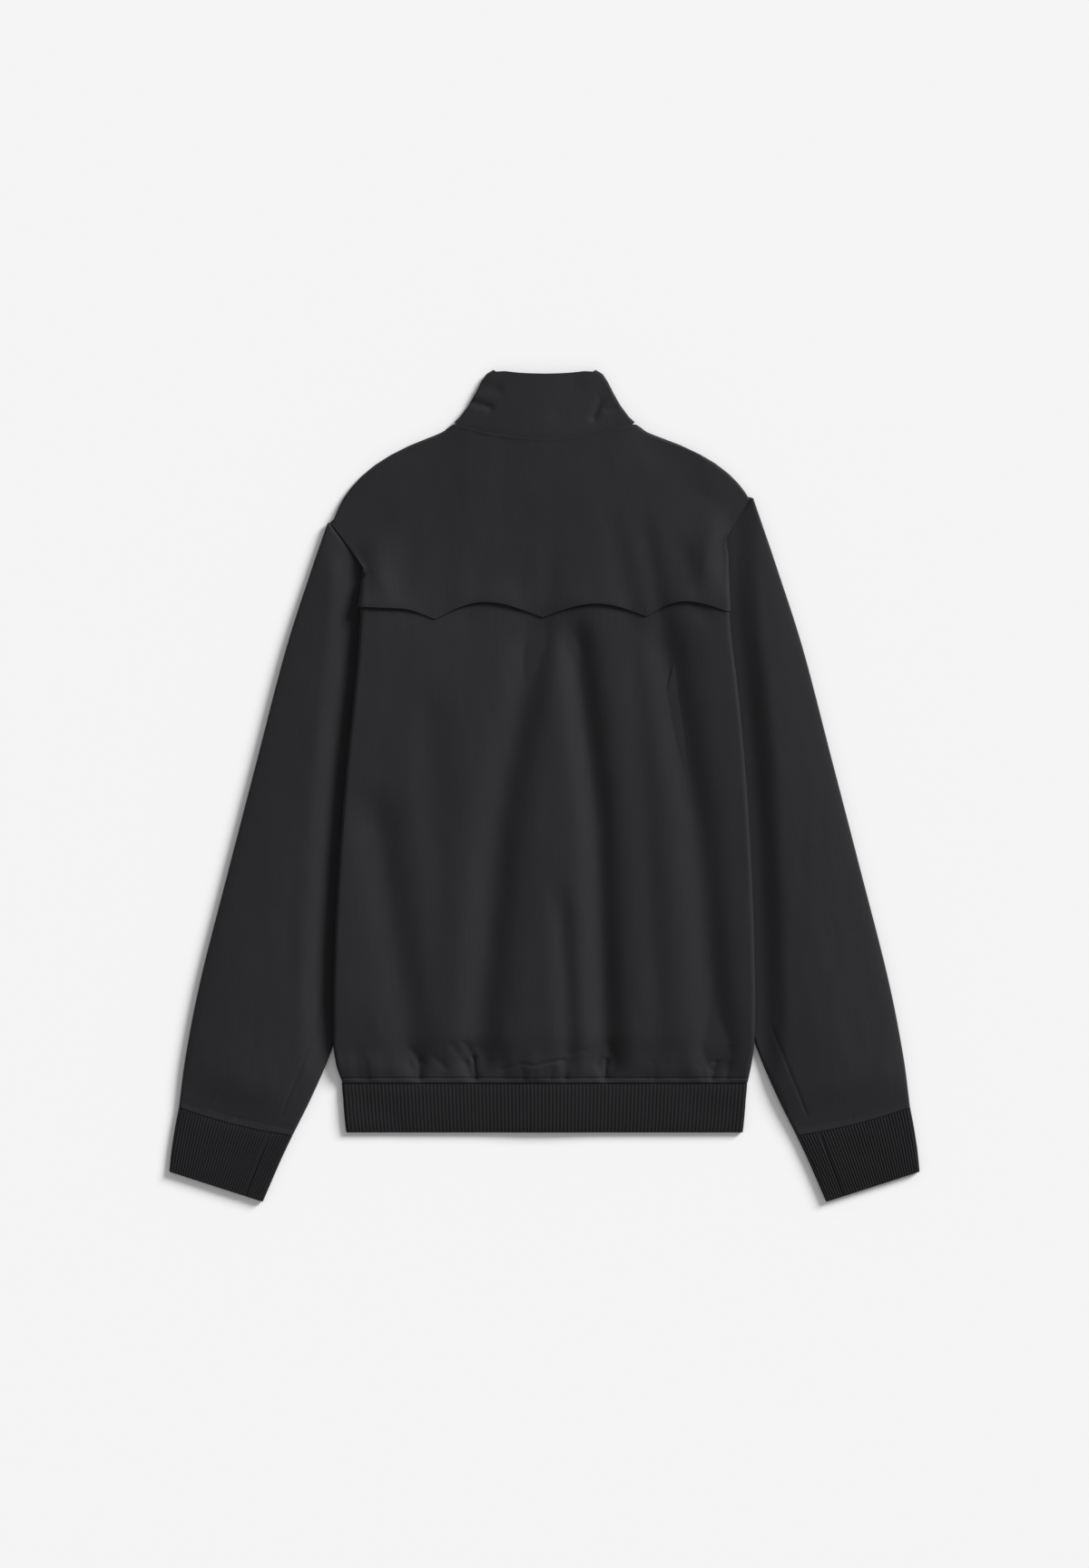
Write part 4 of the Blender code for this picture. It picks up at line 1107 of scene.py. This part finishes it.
@dataclass
class Collar:
    """The stand collar, folded flat, with its back uppermost."""

    rows: int = 40
    steps: int = 18
    creases: tuple[Crease, ...] = (
        Crease(56.0, 376.0, 47.0, 350.0, 3.4, 1.7), Crease(68.0, 360.0, 60.0, 358.0, 2.6, 0.9),
        Crease(-70.0, 366.0, -52.0, 360.0, 3.2, 1.5), Crease(-60.0, 383.0, -44.0, 376.0, 5.0, 0.7),
        Crease(30.0, 380.0, 12.0, 356.0, 8.0, 0.7),
    )
    side_height: float = 6.4
    tuck: float = 1.5
    wall: float = 1.4

    def build(self, cloth: bpy.types.Material) -> bpy.types.Object:
        """Makes the collar."""
        rows, directions = [], []
        lean = np.array([0.82, 0.57])
        shares = [row.share for row in COLLAR_FOLDS]
        for share in np.linspace(0.0, 1.0, self.rows):
            half = []
            for values in through(COLLAR_STATIONS, self.steps):
                half.append((tuple(mix(values[:3], values[3:], share)), (0.0, 0.0, -1.0)))
            radius = self.side_height / 2
            fold = np.array([np.interp(share, shares, [getattr(row, key) for row in COLLAR_FOLDS])
                             for key in "xy"])
            for angle in np.linspace(0.0, math.pi, 14):
                out, up = math.sin(angle), -math.cos(angle)
                place = fold + lean * radius * (out - 1.0)
                half.append(((*place, radius * (1.0 + up)), (*(lean * out), up)))
            for values in through(COLLAR_BACKS, self.steps):
                seam = np.array([values[0], top_edge_y(values[0]) - self.tuck, values[1]])
                place = mix(seam, values[2:], share)
                half.append((tuple(place), (0.0, 0.0, 1.0)))
            points, facing = mirrored(half)
            rows.append(points)
            directions.append(facing)
        grid = creased(ClothGrid(np.array(rows), np.array(directions)), self.creases)
        piece = grid.sewn("collar_cloth", cloth, self.wall)
        lay(piece, "collar")
        return piece


def hit(piece: bpy.types.Object, x: float, y: float, above: bool) -> tuple[Vector, Vector] | None:
    """Where a line straight down, or up from below, meets a piece, in metres, and which way it faces."""
    start = Vector((x * MM, y * MM, 0.2 if above else -0.2))
    found, place, normal, _ = piece.ray_cast(start, Vector((0.0, 0.0, -1.0 if above else 1.0)))
    return (place, normal) if found else None


def fill(row: bpy.types.Object, name: str, copies: list[np.ndarray], faces: list[tuple],
         finish: bpy.types.Material) -> None:
    """Fills a piece's mesh with the copies of one shape.

    Args:
        row: The piece, whose own shape is replaced.
        name: The name that it gets.
        copies: Each copy's points, in metres.
        faces: The faces of one copy.
        finish: Their material.
    """
    size = len(copies[0])
    joined = [tuple(k + at * size for k in face) for at in range(len(copies)) for face in faces]
    row.name = name
    row.data.clear_geometry()
    row.data.from_pydata(np.vstack(copies), [], joined)
    row.data.name = name
    row.data.materials.append(finish)


@dataclass
class Stitching:
    """A row of stitches sunk into a cloth piece."""

    name: str
    host: bpy.types.Object
    path: list[tuple[float, float]]
    above: bool = True
    pitch: float = 3.0
    length: float = 2.3
    width: float = 0.55

    def build(self, thread: bpy.types.Material) -> bpy.types.Object:
        """Models one stitch and copies it along the path.

        Args:
            thread: The stitches' material.

        Returns:
            The whole row as one piece.
        """
        bpy.ops.object.select_all(action="DESELECT")
        bpy.ops.mesh.primitive_uv_sphere_add(segments=8, ring_count=5, radius=0.5)
        row = bpy.context.object
        stitch = np.array([v.co[:] for v in row.data.vertices]) * (self.length, self.width, self.width * 0.8)
        faces = [tuple(f.vertices) for f in row.data.polygons]
        places = np.array(self.path, dtype=float)
        steps = np.hypot(*np.diff(places, axis=0).T)
        reached = np.concatenate([[0.0], np.cumsum(steps)])
        points = []
        for at in np.arange(self.pitch / 2, reached[-1], self.pitch):
            plan = [float(np.interp(at, reached, places[:, k])) for k in range(2)]
            ahead = [float(np.interp(at + 0.5, reached, places[:, k])) for k in range(2)]
            found = hit(self.host, *plan, self.above)
            if found is None:
                continue
            place, normal = found
            along = Vector((ahead[0] - plan[0], ahead[1] - plan[1], 0.0))
            along = (along - normal * along.dot(normal)).normalized()
            turn = np.array([along[:], normal.cross(along)[:], normal[:]])
            points.append(stitch @ turn * MM + np.array(place) + np.array(normal) * self.width * 0.12 * MM)
        fill(row, self.name, points, faces, thread)
        row.data.shade_smooth()
        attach(row, BODY)
        LOG.info("%s: %d stitches", self.name, len(points))
        return row


@dataclass
class Teeth:
    """The zip's moulded teeth, seen between the fronts."""

    pitch: float = 2.4
    reach: float = 2.5
    chain_low: float = 2.1
    depth: float = 0.55
    starts: float = HEM_END_Y + 1.5
    ends: float = 303.0

    def build(self, metal: bpy.types.Material) -> bpy.types.Object:
        """Models one tooth and copies it down both sides of the chain."""
        bpy.ops.object.select_all(action="DESELECT")
        bpy.ops.mesh.primitive_cube_add(size=1.0)
        bpy.ops.object.mode_set(mode="EDIT")
        bpy.ops.mesh.select_all(action="SELECT")
        bpy.ops.mesh.bevel(offset=0.16, segments=1)
        bpy.ops.object.mode_set(mode="OBJECT")
        row = bpy.context.object
        tooth = np.array([v.co[:] for v in row.data.vertices]) * (self.reach, self.pitch * 0.42, self.depth)
        faces = [tuple(f.vertices) for f in row.data.polygons]
        points = []
        for k, y in enumerate(np.arange(self.starts, self.ends, self.pitch / 2)):
            lift = SLIDER_LIFT * slider_rise(float(y))
            centre = (0.55 * (1 if k % 2 else -1), y, self.chain_low + lift - self.depth * 0.3)
            points.append((tooth + centre) * MM)
        fill(row, "zip_teeth", points, faces, metal)
        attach(row, BODY)
        LOG.info("zip_teeth: %d teeth", len(points))
        return row


def seams(back: bpy.types.Object, yoke: bpy.types.Object, sleeves: dict[Side, bpy.types.Object],
          fronts: dict[Side, bpy.types.Object]) -> list[Stitching]:
    """Every row of stitches, on the piece that it is sewn through."""
    rows = [
        Stitching("yoke_edge_stitches", yoke, [(x, scallop_y(x) + 2.6) for x in np.linspace(-171, 172, 300)]),
        Stitching("neck_stitches", yoke, [(x, top_edge_y(x) - 2.4) for x in np.linspace(-76, 76, 80)]),
        Stitching("hem_stitches_back", back, [(x, HEM_SEAM_Y + 5.0) for x in np.linspace(-190, 190, 40)]),
    ]
    for k, tip in enumerate(row for row in SCALLOPS[:-1] if row.hangs):
        rows.append(Stitching(f"yoke_tack_{k + 1}", yoke, [(tip.x, tip.y + 2.5), (tip.x, tip.y + 8.5)],
                              pitch=1.5, length=1.7, width=0.8))
    for side in Side:
        sign = side.value
        band = [(sign * mix(238.6, 348.6, u), mix(-330.6, -304.0, u) + 3.0 * 4.0 * u * (u - 1.0) * -0.2)
                for u in np.linspace(0.02, 0.98, 40)]
        rows.append(Stitching(f"cuff_stitches_{side.label}", sleeves[side], band))
        rows.append(Stitching(f"cuff_stitches_under_{side.label}", sleeves[side], band, above=False))
        rows.append(Stitching(f"hem_stitches_{side.label}", fronts[side],
                              [(sign * x, HEM_SEAM_Y + 5.0) for x in (9.0, 140.0)], above=False))
        rows.append(Stitching(f"placket_stitches_{side.label}", fronts[side],
                              [(sign * 13.0, y) for y in (-280.0, 0.0, 225.0, 255.0)], above=False))
    return rows


@dataclass
class Hardware:
    """The zip: its solids keep their shapes and get their finishes."""

    nodes: dict

    def dress(self, tape: bpy.types.Material, metal: bpy.types.Material) -> None:
        """Puts the tape's and the metal's finishes on the zip's solids."""
        for name, finish in (("zip_chain", tape), ("zip_slider", metal), ("zip_pull_tab", metal)):
            node = self.nodes[name]
            for slot in node.material_slots:
                slot.material = finish
            LOG.info("%s: dressed", name)


@dataclass
class Studio:
    """A pale floor, soft lights and a camera straight above."""

    camera_height: float = 3.34
    lens: float = 80.0
    floor_side: float = 12.0

    def floor(self) -> None:
        """Lays the pale floor."""
        bpy.ops.object.select_all(action="DESELECT")
        bpy.ops.mesh.primitive_plane_add(size=self.floor_side)
        floor = bpy.context.object
        floor.name = "floor"
        matt = bpy.data.materials.new("matt_white_board")
        matt.use_nodes = True
        shader = matt.node_tree.nodes["Principled BSDF"]
        shader.inputs["Base Color"].default_value = linear("F2F2F2")
        shader.inputs["Roughness"].default_value = 0.9
        shader.inputs["Specular IOR Level"].default_value = 0.1
        floor.data.materials.append(matt)

    def light(self, name: str, place: tuple[float, float, float], spread: float, power: float) -> None:
        """Adds a soft, distant lamp that shines at the jacket.

        Args:
            name: The lamp's name.
            place: Where it hangs.
            spread: How wide it looks from the jacket, in degrees, which softens its shadows.
            power: Its strength.
        """
        bpy.ops.object.light_add(type="SUN", location=place)
        lamp = bpy.context.object
        lamp.name = name
        lamp.data.angle = math.radians(spread)
        lamp.data.energy = power
        lamp.rotation_euler = (-Vector(place)).to_track_quat("-Z", "Y").to_euler()

    def build(self) -> None:
        """Sets the floor, the lights, the sky and the camera."""
        self.floor()
        self.light("key", (3.2, 2.6, 1.9), 22.0, 4.7)
        world = bpy.data.worlds.new("soft_sky")
        world.use_nodes = True
        world.node_tree.nodes["Background"].inputs["Color"].default_value = (1.0, 1.0, 1.0, 1.0)
        world.node_tree.nodes["Background"].inputs["Strength"].default_value = 0.4
        bpy.context.scene.world = world
        bpy.ops.object.camera_add(location=(0.0, 0.0, self.camera_height))
        camera = bpy.context.object
        camera.data.lens = self.lens
        camera.data.clip_end = 50.0
        bpy.context.scene.camera = camera
        bpy.context.scene.view_settings.view_transform = "Standard"


def main() -> None:
    """Builds every piece around the solids, then the studio."""
    logging.basicConfig(level=logging.INFO, format="%(message)s")
    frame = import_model()
    cloth, knit = SHELL.build(), RIB.build()
    tape, metal = TAPE.build(), MetalFinish().build()
    back, yoke = BackAndYoke().build(cloth)
    fronts = {side: Front(side).build(cloth) for side in Side}
    sleeves = {side: Sleeve(side).build(cloth) for side in Side}
    for side in Side:
        Cuff(side).build(knit)
    HemBand().build(knit)
    Collar().build(cloth)
    Hardware(frame["nodes"]).dress(tape, metal)
    Teeth().build(metal)
    bpy.context.view_layer.update()
    thread = THREAD.build()
    for row in seams(back, yoke, sleeves, fronts):
        row.build(thread)
    Studio().build()


if __name__ == "__main__":
    main()
